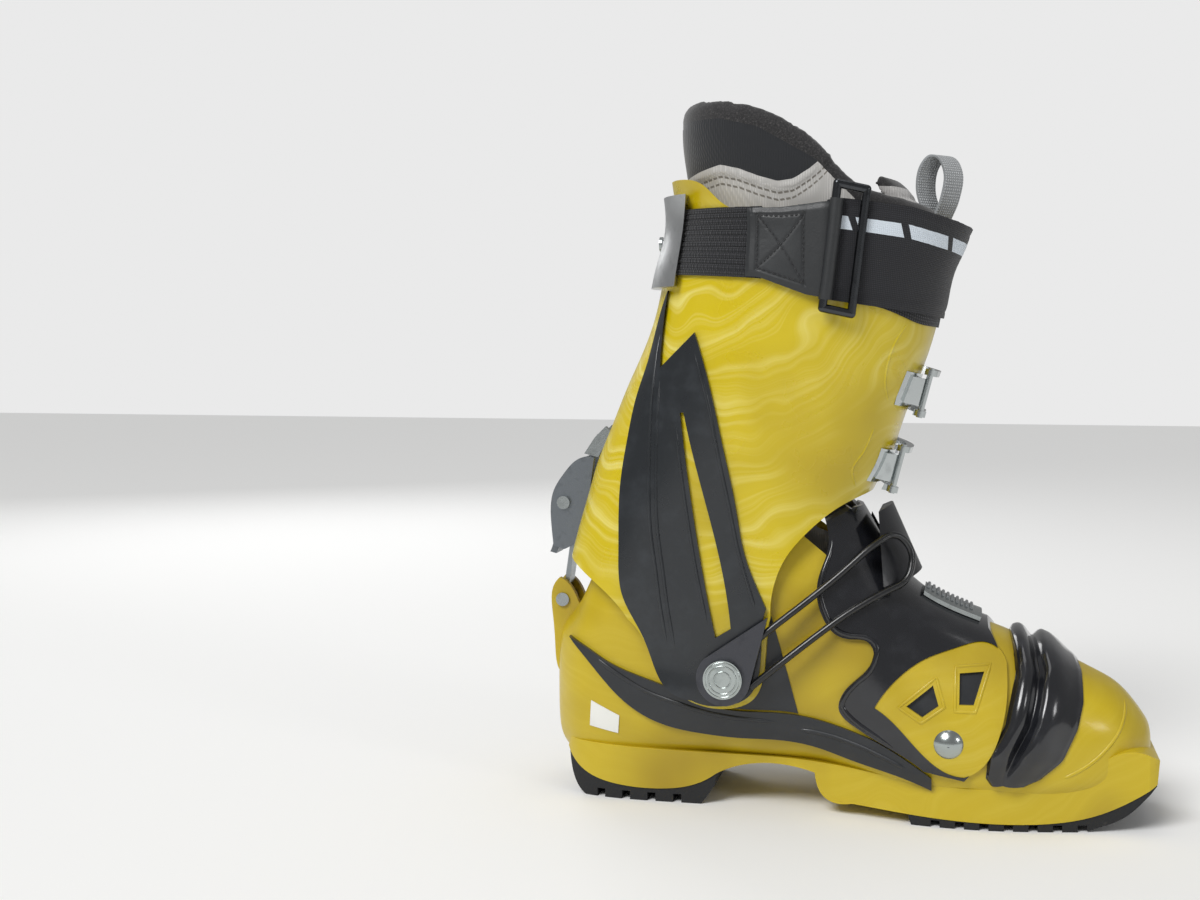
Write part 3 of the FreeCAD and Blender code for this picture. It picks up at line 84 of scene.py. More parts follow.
def linear(hex_colour: str) -> tuple[float, float, float, float]:
    """Turns an sRGB hex colour to linear.

    Args:
        hex_colour: Colour as #rrggbb.

    Returns:
        Linear red, green, blue and an alpha of one.
    """
    channels = [int(hex_colour[start:start + 2], 16) / 255 for start in (1, 3, 5)]
    rgb = [c / 12.92 if c <= 0.04045 else ((c + 0.055) / 1.055) ** 2.4 for c in channels]
    return rgb[0], rgb[1], rgb[2], 1.0


def per_mm(feature: float) -> float:
    """The texture scale that makes a feature this many millimetres across."""
    return 1.0 / (feature * MM)


def add_node(tree: bpy.types.NodeTree, kind: str, links: dict | None = None, **settings) -> bpy.types.Node:
    """Adds a node with its settings and links.

    Args:
        tree: The material's node tree.
        kind: Node type name.
        links: Input name or index to a value or to an output socket.
        settings: Attributes of the node itself.

    Returns:
        The new node.
    """
    node = tree.nodes.new(kind)
    for name, value in settings.items():
        setattr(node, name, value)
    for name, value in (links or {}).items():
        if isinstance(value, bpy.types.NodeSocket):
            tree.links.new(value, node.inputs[name])
        else:
            node.inputs[name].default_value = value
    return node


def ramp(tree: bpy.types.NodeTree, factor: bpy.types.NodeSocket,
         stops: Sequence[tuple[float, str]]) -> bpy.types.NodeSocket:
    """A colour ramp from place and hex colour pairs.

    Args:
        tree: The material's node tree.
        factor: What drives the ramp.
        stops: Places from 0 to 1 with their hex colours.

    Returns:
        The ramp's colour output.
    """
    node = add_node(tree, "ShaderNodeValToRGB", {"Fac": factor})
    elements = node.color_ramp.elements
    while len(elements) < len(stops):
        elements.new(0.5)
    for element, (place, colour) in zip(elements, stops):
        element.position = place
        element.color = linear(colour)
    return node.outputs["Color"]


@dataclass(frozen=True)
class Finish:
    """What all finishes share: a name, and a shader to which each adds its own nodes."""

    name: str

    def start(self) -> tuple[bpy.types.Material, bpy.types.NodeTree, bpy.types.Node, bpy.types.NodeSocket]:
        """Makes the material with an empty shader.

        Returns:
            The material, its tree, its Principled shader and the object coordinates.
        """
        material = bpy.data.materials.new(self.name)
        material.use_nodes = True
        tree = material.node_tree
        shader = next(node for node in tree.nodes if node.type == "BSDF_PRINCIPLED")
        place = add_node(tree, "ShaderNodeTexCoord").outputs["Object"]
        return material, tree, shader, place


@dataclass(frozen=True)
class MouldedPolymer(Finish):
    """Injection-moulded polyether-amide shell plastic, tinted through: satin gloss, pale flow lines, fine scuffs.

    The flow lines are fine arcs round a point in front of and above the ankle, in the side view."""

    colour: str = "#ceb707"
    deep: str = "#b39a05"
    streak: str = "#e0d258"
    streak_mm: float = 7.0
    flow_centre: tuple[float, float, float] = (0.05, 0.0, -0.33)
    streak_strength: float = 0.5
    roughness: float = 0.26
    scuff: float = 0.35
    glow: float = 0.08

    def build(self) -> bpy.types.Material:
        """Makes the material."""
        material, tree, shader, place = self.start()
        cloud = add_node(tree, "ShaderNodeTexNoise", {"Vector": place, "Scale": per_mm(70), "Detail": 2.0})
        bend = add_node(tree, "ShaderNodeTexNoise", {"Vector": place, "Scale": per_mm(48), "Detail": 1.5})
        swirl = add_node(tree, "ShaderNodeVectorMath", {0: bend.outputs["Color"], 1: (0.05, 0.0, 0.05), 2: place},
                         operation="MULTIPLY_ADD")
        moved = add_node(tree, "ShaderNodeMapping", {"Vector": swirl.outputs["Vector"], "Location": self.flow_centre,
                                                     "Scale": (1.0, 0.0, 1.0)})
        reach = add_node(tree, "ShaderNodeVectorMath", {0: moved.outputs[0]}, operation="LENGTH").outputs["Value"]
        along = add_node(tree, "ShaderNodeCombineXYZ", {"X": reach})
        lines = add_node(tree, "ShaderNodeTexNoise", {"Vector": along.outputs[0], "Scale": per_mm(self.streak_mm),
                                                      "Detail": 5.0, "Roughness": 0.62})
        where = add_node(tree, "ShaderNodeMapRange", {"Value": cloud.outputs["Fac"], "From Min": 0.38,
                                                      "From Max": 0.66})
        flow = add_node(tree, "ShaderNodeMapRange", {"Value": lines.outputs["Fac"], "From Min": 0.47, "From Max": 0.66})
        masked = add_node(tree, "ShaderNodeMath", {0: flow.outputs[0], 1: where.outputs["Result"]},
                          operation="MULTIPLY")
        faint = add_node(tree, "ShaderNodeMath", {0: masked.outputs[0], 1: self.streak_strength}, operation="MULTIPLY")
        body = ramp(tree, cloud.outputs["Fac"], [(0.3, self.deep), (0.55, self.colour), (0.8, self.colour)])
        tint = add_node(tree, "ShaderNodeMixRGB", {"Fac": faint.outputs[0], "Color1": body,
                                                   "Color2": linear(self.streak)})
        scratch = add_node(tree, "ShaderNodeTexNoise", {"Vector": place, "Scale": per_mm(1.6), "Detail": 6.0,
                                                        "Roughness": 0.7})
        rub = add_node(tree, "ShaderNodeTexNoise", {"Vector": place, "Scale": per_mm(22), "Detail": 4.0})
        rough = add_node(tree, "ShaderNodeMapRange", {"Value": rub.outputs["Fac"], "From Min": 0.3, "From Max": 0.75,
                                                      "To Min": self.roughness, "To Max": self.roughness + self.scuff})
        bump = add_node(tree, "ShaderNodeBump", {"Height": scratch.outputs["Fac"], "Strength": 0.06,
                                                 "Distance": 0.0006})
        shader.inputs["IOR"].default_value = 1.51
        shader.inputs["Coat Weight"].default_value = 0.25
        shader.inputs["Coat Roughness"].default_value = 0.12
        shader.inputs["Subsurface Weight"].default_value = self.glow
        shader.inputs["Subsurface Radius"].default_value = (1.0, 0.75, 0.15)
        shader.inputs["Subsurface Scale"].default_value = 0.004
        tree.links.new(tint.outputs["Color"], shader.inputs["Base Color"])
        tree.links.new(rough.outputs["Result"], shader.inputs["Roughness"])
        tree.links.new(bump.outputs["Normal"], shader.inputs["Normal"])
        return material


@dataclass(frozen=True)
class DarkPolymer(Finish):
    """Moulded black polymer: polished by the mould or left satin, with handling scratches that catch the light."""

    colour: str = "#17181c"
    worn: str = "#34363b"
    roughness: float = 0.2
    coat: float = 0.35
    grain_mm: float = 0.9
    grain: float = 0.05

    def build(self) -> bpy.types.Material:
        """Makes the material."""
        material, tree, shader, place = self.start()
        rub = add_node(tree, "ShaderNodeTexNoise", {"Vector": place, "Scale": per_mm(14), "Detail": 5.0,
                                                    "Roughness": 0.6})
        stretched = add_node(tree, "ShaderNodeMapping", {"Vector": place, "Rotation": (0.0, 0.6, 0.2),
                                                         "Scale": (1.0, 1.0, 9.0)})
        hairs = add_node(tree, "ShaderNodeTexNoise", {"Vector": stretched.outputs[0], "Scale": per_mm(11),
                                                      "Detail": 8.0, "Roughness": 0.75})
        thin = add_node(tree, "ShaderNodeMapRange", {"Value": hairs.outputs["Fac"], "From Min": 0.66, "From Max": 0.74})
        wear = add_node(tree, "ShaderNodeMapRange", {"Value": rub.outputs["Fac"], "From Min": 0.5, "From Max": 0.85,
                                                     "To Max": 0.45})
        mixed = add_node(tree, "ShaderNodeMath", {0: wear.outputs["Result"], 1: thin.outputs["Result"]},
                         operation="MAXIMUM")
        tint = add_node(tree, "ShaderNodeMixRGB", {"Fac": mixed.outputs[0], "Color1": linear(self.colour),
                                                   "Color2": linear(self.worn)})
        rough = add_node(tree, "ShaderNodeMapRange", {"Value": rub.outputs["Fac"], "To Min": self.roughness * 0.7,
                                                      "To Max": self.roughness * 1.7})
        grain = add_node(tree, "ShaderNodeTexNoise", {"Vector": place, "Scale": per_mm(self.grain_mm), "Detail": 3.0})
        bump = add_node(tree, "ShaderNodeBump", {"Height": grain.outputs["Fac"], "Strength": self.grain,
                                                 "Distance": 0.0005})
        shader.inputs["IOR"].default_value = 1.5
        shader.inputs["Coat Weight"].default_value = self.coat
        shader.inputs["Coat Roughness"].default_value = 0.1
        tree.links.new(tint.outputs["Color"], shader.inputs["Base Color"])
        tree.links.new(rough.outputs["Result"], shader.inputs["Roughness"])
        tree.links.new(bump.outputs["Normal"], shader.inputs["Normal"])
        return material


@dataclass(frozen=True)
class Metal(Finish):
    """Bare or plated metal: brushed or cast grain, with darker tarnish spots at random."""

    colour: str = "#a9aeae"
    dull: str = "#6e7373"
    roughness: float = 0.24
    grain_mm: float = 0.6
    grain: float = 0.12
    brushed: bool = False

    def build(self) -> bpy.types.Material:
        """Makes the material."""
        material, tree, shader, place = self.start()
        shape = (1.0, 1.0, 14.0) if self.brushed else (1.0, 1.0, 1.0)
        stretched = add_node(tree, "ShaderNodeMapping", {"Vector": place, "Scale": shape})
        grain = add_node(tree, "ShaderNodeTexNoise", {"Vector": stretched.outputs[0], "Scale": per_mm(self.grain_mm),
                                                      "Detail": 5.0, "Roughness": 0.6})
        spots = add_node(tree, "ShaderNodeTexNoise", {"Vector": place, "Scale": per_mm(6), "Detail": 4.0})
        tint = ramp(tree, spots.outputs["Fac"], [(0.0, self.dull), (0.44, self.colour), (0.9, self.colour)])
        rough = add_node(tree, "ShaderNodeMapRange", {"Value": spots.outputs["Fac"], "To Min": self.roughness * 1.3,
                                                      "To Max": self.roughness * 0.8})
        bump = add_node(tree, "ShaderNodeBump", {"Height": grain.outputs["Fac"], "Strength": self.grain,
                                                 "Distance": 0.0004})
        shader.inputs["Metallic"].default_value = 1.0
        tree.links.new(tint, shader.inputs["Base Color"])
        tree.links.new(rough.outputs["Result"], shader.inputs["Roughness"])
        tree.links.new(bump.outputs["Normal"], shader.inputs["Normal"])
        return material


@dataclass(frozen=True)
class SoleRubber(Finish):
    """Vulcanised sole rubber: matt, with dusty patches at random and a fine pitted bump."""

    colour: str = "#17181a"
    dust: str = "#4a4742"

    def build(self) -> bpy.types.Material:
        """Makes the material."""
        material, tree, shader, place = self.start()
        dirt = add_node(tree, "ShaderNodeTexNoise", {"Vector": place, "Scale": per_mm(9), "Detail": 7.0,
                                                     "Roughness": 0.7})
        tint = ramp(tree, dirt.outputs["Fac"], [(0.4, self.colour), (0.62, self.colour), (0.85, self.dust)])
        pit = add_node(tree, "ShaderNodeTexVoronoi", {"Vector": place, "Scale": per_mm(1.4)})
        bump = add_node(tree, "ShaderNodeBump", {"Height": pit.outputs["Distance"], "Strength": 0.25,
                                                 "Distance": 0.0006})
        shader.inputs["Roughness"].default_value = 0.72
        shader.inputs["IOR"].default_value = 1.52
        tree.links.new(tint, shader.inputs["Base Color"])
        tree.links.new(bump.outputs["Normal"], shader.inputs["Normal"])
        return material


@dataclass(frozen=True)
class Cloth(Finish):
    """Woven webbing, knitted neoprene facing or pressed felt, from its thread size."""

    colour: str = "#15161a"
    thread: str = "#2b2c31"
    weave: Weave = Weave.WEBBING
    thread_mm: float = 1.1
    depth: float = 0.5

    def threads(self, tree: bpy.types.NodeTree, place: bpy.types.NodeSocket) -> bpy.types.NodeSocket:
        """The cloth's height pattern.

        Args:
            tree: The material's node tree.
            place: Coordinates that the threads follow.

        Returns:
            A value from 0 in the gaps to 1 on the threads.
        """
        scale = per_mm(self.thread_mm)
        if self.weave is Weave.FELT:
            return add_node(tree, "ShaderNodeTexNoise", {"Vector": place, "Scale": scale, "Detail": 8.0,
                                                         "Roughness": 0.8, "Distortion": 1.2}).outputs["Fac"]
        waves = []
        for axis in ("X", "Y"):
            waves.append(add_node(tree, "ShaderNodeTexWave", {"Vector": place, "Scale": scale * WAVE_PERIOD},
                                  wave_type="BANDS", bands_direction=axis).outputs["Fac"])
        return add_node(tree, "ShaderNodeMath", {0: waves[0], 1: waves[1]}, operation="MULTIPLY").outputs[0]

    def build(self) -> bpy.types.Material:
        """Makes the material."""
        material, tree, shader, place = self.start()
        if self.weave is Weave.WEBBING:
            place = add_node(tree, "ShaderNodeUVMap").outputs["UV"]
        height = self.threads(tree, place)
        shade = add_node(tree, "ShaderNodeMixRGB", {"Fac": height, "Color1": linear(self.colour),
                                                    "Color2": linear(self.thread)})
        self.finish(tree, shader, shade.outputs["Color"], height)
        return material

    def finish(self, tree: bpy.types.NodeTree, shader: bpy.types.Node, colour: bpy.types.NodeSocket,
               height: bpy.types.NodeSocket) -> None:
        """Sets the soft sheen and the thread bump.

        Args:
            tree: The material's node tree.
            shader: Its Principled shader.
            colour: Base colour.
            height: The cloth's height pattern.
        """
        bump = add_node(tree, "ShaderNodeBump", {"Height": height, "Strength": self.depth, "Distance": 0.0006})
        shader.inputs["Roughness"].default_value = 0.85
        shader.inputs["Sheen Weight"].default_value = 0.25
        shader.inputs["Sheen Roughness"].default_value = 0.5
        tree.links.new(colour, shader.inputs["Base Color"])
        tree.links.new(bump.outputs["Normal"], shader.inputs["Normal"])


@dataclass(frozen=True)
class StripedWebbing(Cloth):
    """Elastic webbing with a woven stripe of pale dashes. The UV map is in metres along and across the strap."""

    stripe: str = "#d2dbe4"
    stripe_low: float = 0.033
    stripe_high: float = 0.039
    dash_mm: float = 24.0

    def build(self) -> bpy.types.Material:
        """Makes the material."""
        material, tree, shader, _ = self.start()
        place = add_node(tree, "ShaderNodeUVMap").outputs["UV"]
        height = self.threads(tree, place)
        shade = add_node(tree, "ShaderNodeMixRGB", {"Fac": height, "Color1": linear(self.colour),
                                                    "Color2": linear(self.thread)})
        parts = add_node(tree, "ShaderNodeSeparateXYZ", {0: place})
        slant = add_node(tree, "ShaderNodeMath", {0: parts.outputs["Y"], 1: 0.35, 2: parts.outputs["X"]},
                         operation="MULTIPLY_ADD")
        wrapped = add_node(tree, "ShaderNodeMath", {0: slant.outputs[0], 1: self.dash_mm * MM}, operation="MODULO")
        gap = add_node(tree, "ShaderNodeMath", {0: wrapped.outputs[0], 1: 0.0035}, operation="GREATER_THAN")
        above = add_node(tree, "ShaderNodeMath", {0: parts.outputs["Y"], 1: self.stripe_low}, operation="GREATER_THAN")
        below = add_node(tree, "ShaderNodeMath", {0: parts.outputs["Y"], 1: self.stripe_high}, operation="LESS_THAN")
        band = add_node(tree, "ShaderNodeMath", {0: above.outputs[0], 1: below.outputs[0]}, operation="MULTIPLY")
        dash = add_node(tree, "ShaderNodeMath", {0: band.outputs[0], 1: gap.outputs[0]}, operation="MULTIPLY")
        mixed = add_node(tree, "ShaderNodeMixRGB", {"Fac": dash.outputs[0], "Color1": shade.outputs["Color"],
                                                    "Color2": linear(self.stripe)})
        self.finish(tree, shader, mixed.outputs["Color"], height)
        return material


@dataclass(frozen=True)
class LinerFacing(Cloth):
    """Grey neoprene-faced foam with a black felt edge, a smooth black patch and two rows of stitches.

    The piece carries two attributes in millimetres: seam, the height over the patch's lower seam, and rim, the
    depth under the top edge. A third, run, is the length along the seam."""

    patch: str = "#1b1d21"
    felt: str = "#2b2a2b"
    stitch: str = "#77736c"
    rim_mm: float = 9.0

    def build(self) -> bpy.types.Material:
        """Makes the material."""
        material, tree, shader, place = self.start()
        height = self.threads(tree, place)
        fuzz = add_node(tree, "ShaderNodeTexNoise", {"Vector": place, "Scale": per_mm(0.9), "Detail": 6.0,
                                                     "Roughness": 0.75})
        base = add_node(tree, "ShaderNodeMixRGB", {"Fac": height, "Color1": linear(self.colour),
                                                   "Color2": linear(self.thread)}).outputs["Color"]
        seam = add_node(tree, "ShaderNodeAttribute", attribute_name="seam").outputs["Fac"]
        rim = add_node(tree, "ShaderNodeAttribute", attribute_name="rim").outputs["Fac"]
        run = add_node(tree, "ShaderNodeAttribute", attribute_name="run").outputs["Fac"]
        dash = add_node(tree, "ShaderNodeMath", {0: run, 1: 3.2}, operation="MODULO")
        thread = add_node(tree, "ShaderNodeMath", {0: dash.outputs[0], 1: 0.9}, operation="GREATER_THAN")
        for row in (-6.0, -9.5):
            near = add_node(tree, "ShaderNodeMath", {0: seam, 1: row, 2: 0.55}, operation="COMPARE")
            on = add_node(tree, "ShaderNodeMath", {0: near.outputs[0], 1: thread.outputs[0]}, operation="MULTIPLY")
            base = add_node(tree, "ShaderNodeMixRGB", {"Fac": on.outputs[0], "Color1": base,
                                                       "Color2": linear(self.stitch)}).outputs["Color"]
        over = add_node(tree, "ShaderNodeMath", {0: seam, 1: 0.0}, operation="GREATER_THAN")
        base = add_node(tree, "ShaderNodeMixRGB", {"Fac": over.outputs[0], "Color1": base,
                                                   "Color2": linear(self.patch)}).outputs["Color"]
        edge = add_node(tree, "ShaderNodeMath", {0: rim, 1: self.rim_mm}, operation="LESS_THAN")
        fibres = ramp(tree, fuzz.outputs["Fac"], [(0.35, "#141315"), (0.55, self.felt), (0.8, "#6a6867")])
        base = add_node(tree, "ShaderNodeMixRGB", {"Fac": edge.outputs[0], "Color1": base,
                                                   "Color2": fibres}).outputs["Color"]
        both = add_node(tree, "ShaderNodeMixRGB", {"Fac": edge.outputs[0], "Color1": height,
                                                   "Color2": fuzz.outputs["Fac"]})
        self.finish(tree, shader, base, both.outputs["Color"])
        return material


FINISHES: dict[str, Finish] = {
    "shell": MouldedPolymer("tinted_polymer_shell", colour="#c2a90f", deep="#a38a0a", streak="#dccb4c",
                            streak_strength=0.22, roughness=0.3, scuff=0.3),
    "cuff": MouldedPolymer("tinted_polymer_cuff", colour="#ceb707", deep="#b8a006", streak="#e8dc7e",
                           streak_strength=0.95, roughness=0.22, scuff=0.22, glow=0.12),
    "panel": MouldedPolymer("tinted_polymer_panel", colour="#c2a910", deep="#a9900c", streak="#e2d670",
                            streak_strength=0.25, roughness=0.3),
    "flap": DarkPolymer("polished_soft_polymer", colour="#17181c", roughness=0.17, coat=0.5),
    "bellows": DarkPolymer("polished_bellows_polymer", colour="#17181c", worn="#3c3e44", roughness=0.15, coat=0.55),
    "trim": DarkPolymer("satin_trim_polymer", colour="#1d2024", roughness=0.3, coat=0.2),
    "overlay": DarkPolymer("satin_overlay_polymer", colour="#1b1f23", worn="#3a3f45", roughness=0.25, coat=0.3),
    "guide": DarkPolymer("filled_nylon", colour="#141519", roughness=0.32, coat=0.15, grain=0.15),
    "ladder_plastic": DarkPolymer("flexible_strap_polymer", colour="#16171a", roughness=0.33, coat=0.1),
    "board": DarkPolymer("moulded_board", colour="#35373a", roughness=0.5, coat=0.0, grain=0.2),
    "washer": DarkPolymer("acetal_washer", colour="#2a2a2c", roughness=0.4, coat=0.0),
    "cable": DarkPolymer("sheathed_cable", colour="#101113", roughness=0.25, coat=0.3),
    "strap_rubber": DarkPolymer("rubber_coated_tab", colour="#26282a", worn="#3c3f41", roughness=0.42, coat=0.08,
                                grain=0.25),
    "plate": Metal("painted_cast_plate", colour="#55565b", dull="#3d3e42", roughness=0.36, grain_mm=0.5, grain=0.3),
    "rivet": Metal("stamped_steel_rivet", colour="#b3bab8", dull="#7f8886", roughness=0.2, grain=0.05),
    "steel": Metal("zinc_plated_steel", colour="#a6abab", dull="#6f7474", roughness=0.25),
    "catch": Metal("polished_steel_catch", colour="#c3c8c8", dull="#858a8a", roughness=0.14, grain=0.05),
    "bail": Metal("polished_steel_bail", colour="#b4b9b9", dull="#787d7d", roughness=0.16, grain=0.06),
    "buckle": Metal("anodised_aluminium_base", colour="#9fa3a5", dull="#6e7274", roughness=0.3, brushed=True),
    "lever": Metal("anodised_aluminium_lever", colour="#a9acaf", dull="#7b7e81", roughness=0.26, brushed=True),
    "walk_lever": Metal("cast_aluminium_lever", colour="#777c80", dull="#4c5054", roughness=0.36, grain=0.3),
    "housing": Metal("cast_aluminium_housing", colour="#7c8186", dull="#4e5256", roughness=0.38, grain_mm=0.8,
                     grain=0.4),
    "lock_bar": Metal("stamped_steel_bar", colour="#9aa0a3", dull="#6c7174", roughness=0.28, brushed=True),
    "ring": Metal("black_plated_ring", colour="#4b4d50", dull="#18191b", roughness=0.22, grain=0.04),
    "retainer": Metal("satin_cast_retainer", colour="#c3c5c6", dull="#97999a", roughness=0.34, grain=0.15),
    "outsole": SoleRubber("vulcanised_rubber"),
    "webbing": Cloth("ribbed_nylon_webbing", colour="#0d0e11", thread="#33343a", thread_mm=1.2, depth=0.6),
    "loop": Cloth("grey_nylon_webbing", colour="#8d9092", thread="#d3d6d8", thread_mm=1.6, depth=0.7),
    "liner": LinerFacing("neoprene_faced_foam", colour="#b3b1ae", thread="#c7c5c2", weave=Weave.KNIT, thread_mm=1.3,
                         depth=0.25),
    "tongue": LinerFacing("felt_edged_tongue", colour="#a9a7a5", thread="#c3c1bf", weave=Weave.KNIT, thread_mm=1.3,
                          depth=0.25, rim_mm=5.0),
    "label": DarkPolymer("blank_vinyl_sticker", colour="#e6e6e1", worn="#d2d1ca", roughness=0.45, coat=0.1, grain=0.02),
}


# ---- shaping helpers ----------------------------------------------------------------------

def deselect() -> None:
    """Leaves nothing selected, so that an operator acts on the new piece alone."""
    for item in bpy.context.selected_objects:
        item.select_set(False)


def pick(piece: bpy.types.Object) -> bpy.types.Object:
    """Selects one object and makes it active."""
    deselect()
    piece.select_set(True)
    bpy.context.view_layer.objects.active = piece
    return piece


def apply_modifier(piece: bpy.types.Object, kind: str, **settings) -> None:
    """Adds a modifier, sets it and applies it.

    Args:
        piece: The object.
        kind: Modifier type.
        settings: Its attributes.
    """
    pick(piece)
    modifier = piece.modifiers.new(kind.title(), kind)
    for name, value in settings.items():
        setattr(modifier, name, value)
    bpy.ops.object.modifier_apply(modifier=modifier.name)


def smooth(piece: bpy.types.Object, degrees: float = 40.0) -> None:
    """Shades a piece smooth, with edges sharper than an angle left crisp."""
    pick(piece)
    bpy.ops.object.shade_smooth_by_angle(angle=math.radians(degrees))


def blended(points: Sequence[Sequence[float]], steps: int) -> list[Vector]:
    """A smooth line through points.

    Args:
        points: What it passes through.
        steps: How many points it gets.

    Returns:
        The line's points, evenly spaced along its parameter.
    """
    knots = [Vector(point) for point in points]
    knots = [knots[0] * 2 - knots[1]] + knots + [knots[-1] * 2 - knots[-2]]
    spans = len(knots) - 3
    line = []
    for step in range(steps):
        place = min(step / (steps - 1) * spans, spans - 1e-6)
        span = int(place)
        t = place - span
        a, b, c, d = knots[span:span + 4]
        line.append(0.5 * (2 * b + (c - a) * t + (2 * a - 5 * b + 4 * c - d) * t * t
                           + (3 * b - a - 3 * c + d) * t ** 3))
    return line


def at_x(line: Sequence[Pair], x: float) -> float:
    """The height of a line of points at x, ends held level."""
    if x <= line[0][0]:
        return line[0][1]
    for (x0, z0), (x1, z1) in zip(line, line[1:]):
        if x <= x1:
            return z0 + (z1 - z0) * (x - x0) / (x1 - x0)
    return line[-1][1]


def at_z(line: Sequence[Pair], z: float) -> float:
    """The x of a line of points at a height, ends held."""
    return at_x(sorted((height, x) for x, height in line), z)


def bell(distance: float, width: float) -> float:
    """A smooth hump of height one and half width."""
    return math.exp(-(distance / width) ** 2)


def ease(value: float) -> float:
    """Zero to one with soft ends."""
    value = min(1.0, max(0.0, value))
    return value * value * (3 - 2 * value)


class Skin:
    """The outside of some CAD nodes, on which details are laid. Its methods take and give millimetres."""

    def __init__(self, *names: str) -> None:
        """Reads the nodes' meshes."""
        points: list[Vector] = []
        faces: list[tuple[int, ...]] = []
        for name in names:
            mesh = frame["nodes"][name].data
            start = len(points)
            points.extend(vertex.co.copy() for vertex in mesh.vertices)
            faces.extend(tuple(start + index for index in polygon.vertices) for polygon in mesh.polygons)
        self.tree = BVHTree.FromPolygons(points, faces)

    def hit(self, start: Vector, heading: Vector, lift: float = 0.0) -> Vector | None:
        """The first point of the outside that a ray meets.

        Args:
            start: Where the ray starts.
            heading: Its direction.
            lift: How far off the surface the answer lies.

        Returns:
            The point, or None where the ray misses.
        """
        place, normal, _, _ = self.tree.ray_cast(start * MM, heading.normalized())
        if place is None:
            return None
        if normal.dot(heading) > 0:
            normal = -normal
        return place / MM + normal * lift

    def side(self, x: float, z: float, side: int, lift: float = 0.0) -> Vector | None:
        """The point that one sees from one side."""
        return self.hit(Vector((x, side * 300, z)), Vector((0, -side, 0)), lift)

    def ring(self, x: float, y: float, turn: float, z: float, lift: float = 0.0) -> Vector | None:
        """The point seen from outside at a level, looking at an upright axis."""
        out = Vector((math.cos(turn), math.sin(turn), 0))
        axis = Vector((x, y, z))
        found = self.hit(axis + out * 300, -out, lift)
        return found if found is not None and (found - axis).dot(out) > 10 else None

    def section(self, x: float, z: float, turn: float, lift: float = 0.0) -> Vector | None:
        """The point seen from outside across the foot, looking at a lengthwise axis."""
        out = Vector((0, math.cos(turn), math.sin(turn)))
        return self.hit(Vector((x, 0, z)) + out * 300, -out, lift)


def sheet_of(name: str, columns: int, rows: int, place: Callable[[float, float], Vector],
             across: Callable[[float, float], Pair] | None = None) -> bpy.types.Object:
    """A grid whose points are all moved to their places.

    Args:
        name: The piece's name.
        columns: Faces along.
        rows: Faces across.
        place: Gives the point in millimetres for two parameters from 0 to 1.
        across: Gives the UV in metres, where the piece has one.

    Returns:
        The new object.
    """
    deselect()
    bpy.ops.mesh.primitive_grid_add(x_subdivisions=columns, y_subdivisions=rows, size=2, calc_uvs=False)
    piece = bpy.context.active_object
    piece.name = name
    mesh = piece.data
    params = [((vertex.co.x + 1) / 2, (vertex.co.y + 1) / 2) for vertex in mesh.vertices]
    for vertex, (u, v) in zip(mesh.vertices, params):
        vertex.co = place(u, v) * MM
    if across:
        layer = mesh.uv_layers.new(name="UVMap")
        for loop in mesh.loops:
            layer.data[loop.index].uv = across(*params[loop.vertex_index])
    mesh.update()
    return piece


def closed_sheet(piece: bpy.types.Object, thick: float, outward: Vector | None = None, rim: float = 0.0) -> None:
    """Gives a sheet its thickness and soft edges.

    Args:
        piece: The sheet.
        thick: Thickness in millimetres, laid inwards from the sheet.
        outward: A point inside the object, from which faces should look away.
        rim: Edge rounding in millimetres.
    """
    mesh = piece.data
    middle = mesh.polygons[len(mesh.polygons) // 2]
    inside = (outward or Vector((-40, 0, 150))) * MM
    if (middle.center - inside).dot(middle.normal) < 0:
        pick(piece)
        bpy.ops.object.mode_set(mode="EDIT")
        bpy.ops.mesh.select_all(action="SELECT")
        bpy.ops.mesh.flip_normals()
        bpy.ops.object.mode_set(mode="OBJECT")
    apply_modifier(piece, "SOLIDIFY", thickness=thick * MM, offset=-1.0)
    if rim:
        apply_modifier(piece, "BEVEL", width=rim * MM, segments=2, limit_method="ANGLE", angle_limit=math.radians(50))
    smooth(piece, 50)


def cord_along(name: str, points: Sequence[Vector], radius: float, taper: bool = True,
               closed: bool = False) -> bpy.types.Object:
    """A round rib along a line.

    Args:
        name: The piece's name.
        points: The line in millimetres.
        radius: The rib's radius in millimetres.
        taper: Whether the ends run out thin.
        closed: Whether the line is a loop.

    Returns:
        The rib as a mesh.
    """
    deselect()
    bpy.ops.curve.primitive_nurbs_path_add()
    piece = bpy.context.active_object
    piece.name = name
    curve = piece.data
    curve.splines.clear()
    spline = curve.splines.new("POLY")
    spline.points.add(len(points) - 1)
    count = len(points)
    for index, (point, place) in enumerate(zip(spline.points, points)):
        point.co = (*(place * MM), 1.0)
        ends = min(index, count - 1 - index) / max(1.0, count * 0.12)
        point.radius = max(0.12, ease(ends)) if taper else 1.0
    spline.use_cyclic_u = closed
    curve.bevel_depth = radius * MM
    curve.bevel_resolution = 3
    curve.use_fill_caps = True
    pick(piece)
    bpy.ops.object.convert(target="MESH")
    smooth(piece, 60)
    return piece


def dress(piece: bpy.types.Object, slot: str, body: str, *replaced: str) -> bpy.types.Object:
    """Gives a piece its finish and its body, and hides the CAD nodes that it stands for.

    Args:
        piece: The finished piece.
        slot: Material slot of the record.
        body: Body that it rides on.
        replaced: CAD nodes that it replaces.

    Returns:
        The piece.
    """
    piece.data.materials.clear()
    piece.data.materials.append(MATERIALS[slot])
    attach(piece, body)
    if replaced:
        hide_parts(*replaced)
    LOG.info("%s rides on %s in %s", piece.name, body, slot)
    return piece


MATERIALS: dict[str, bpy.types.Material] = {}


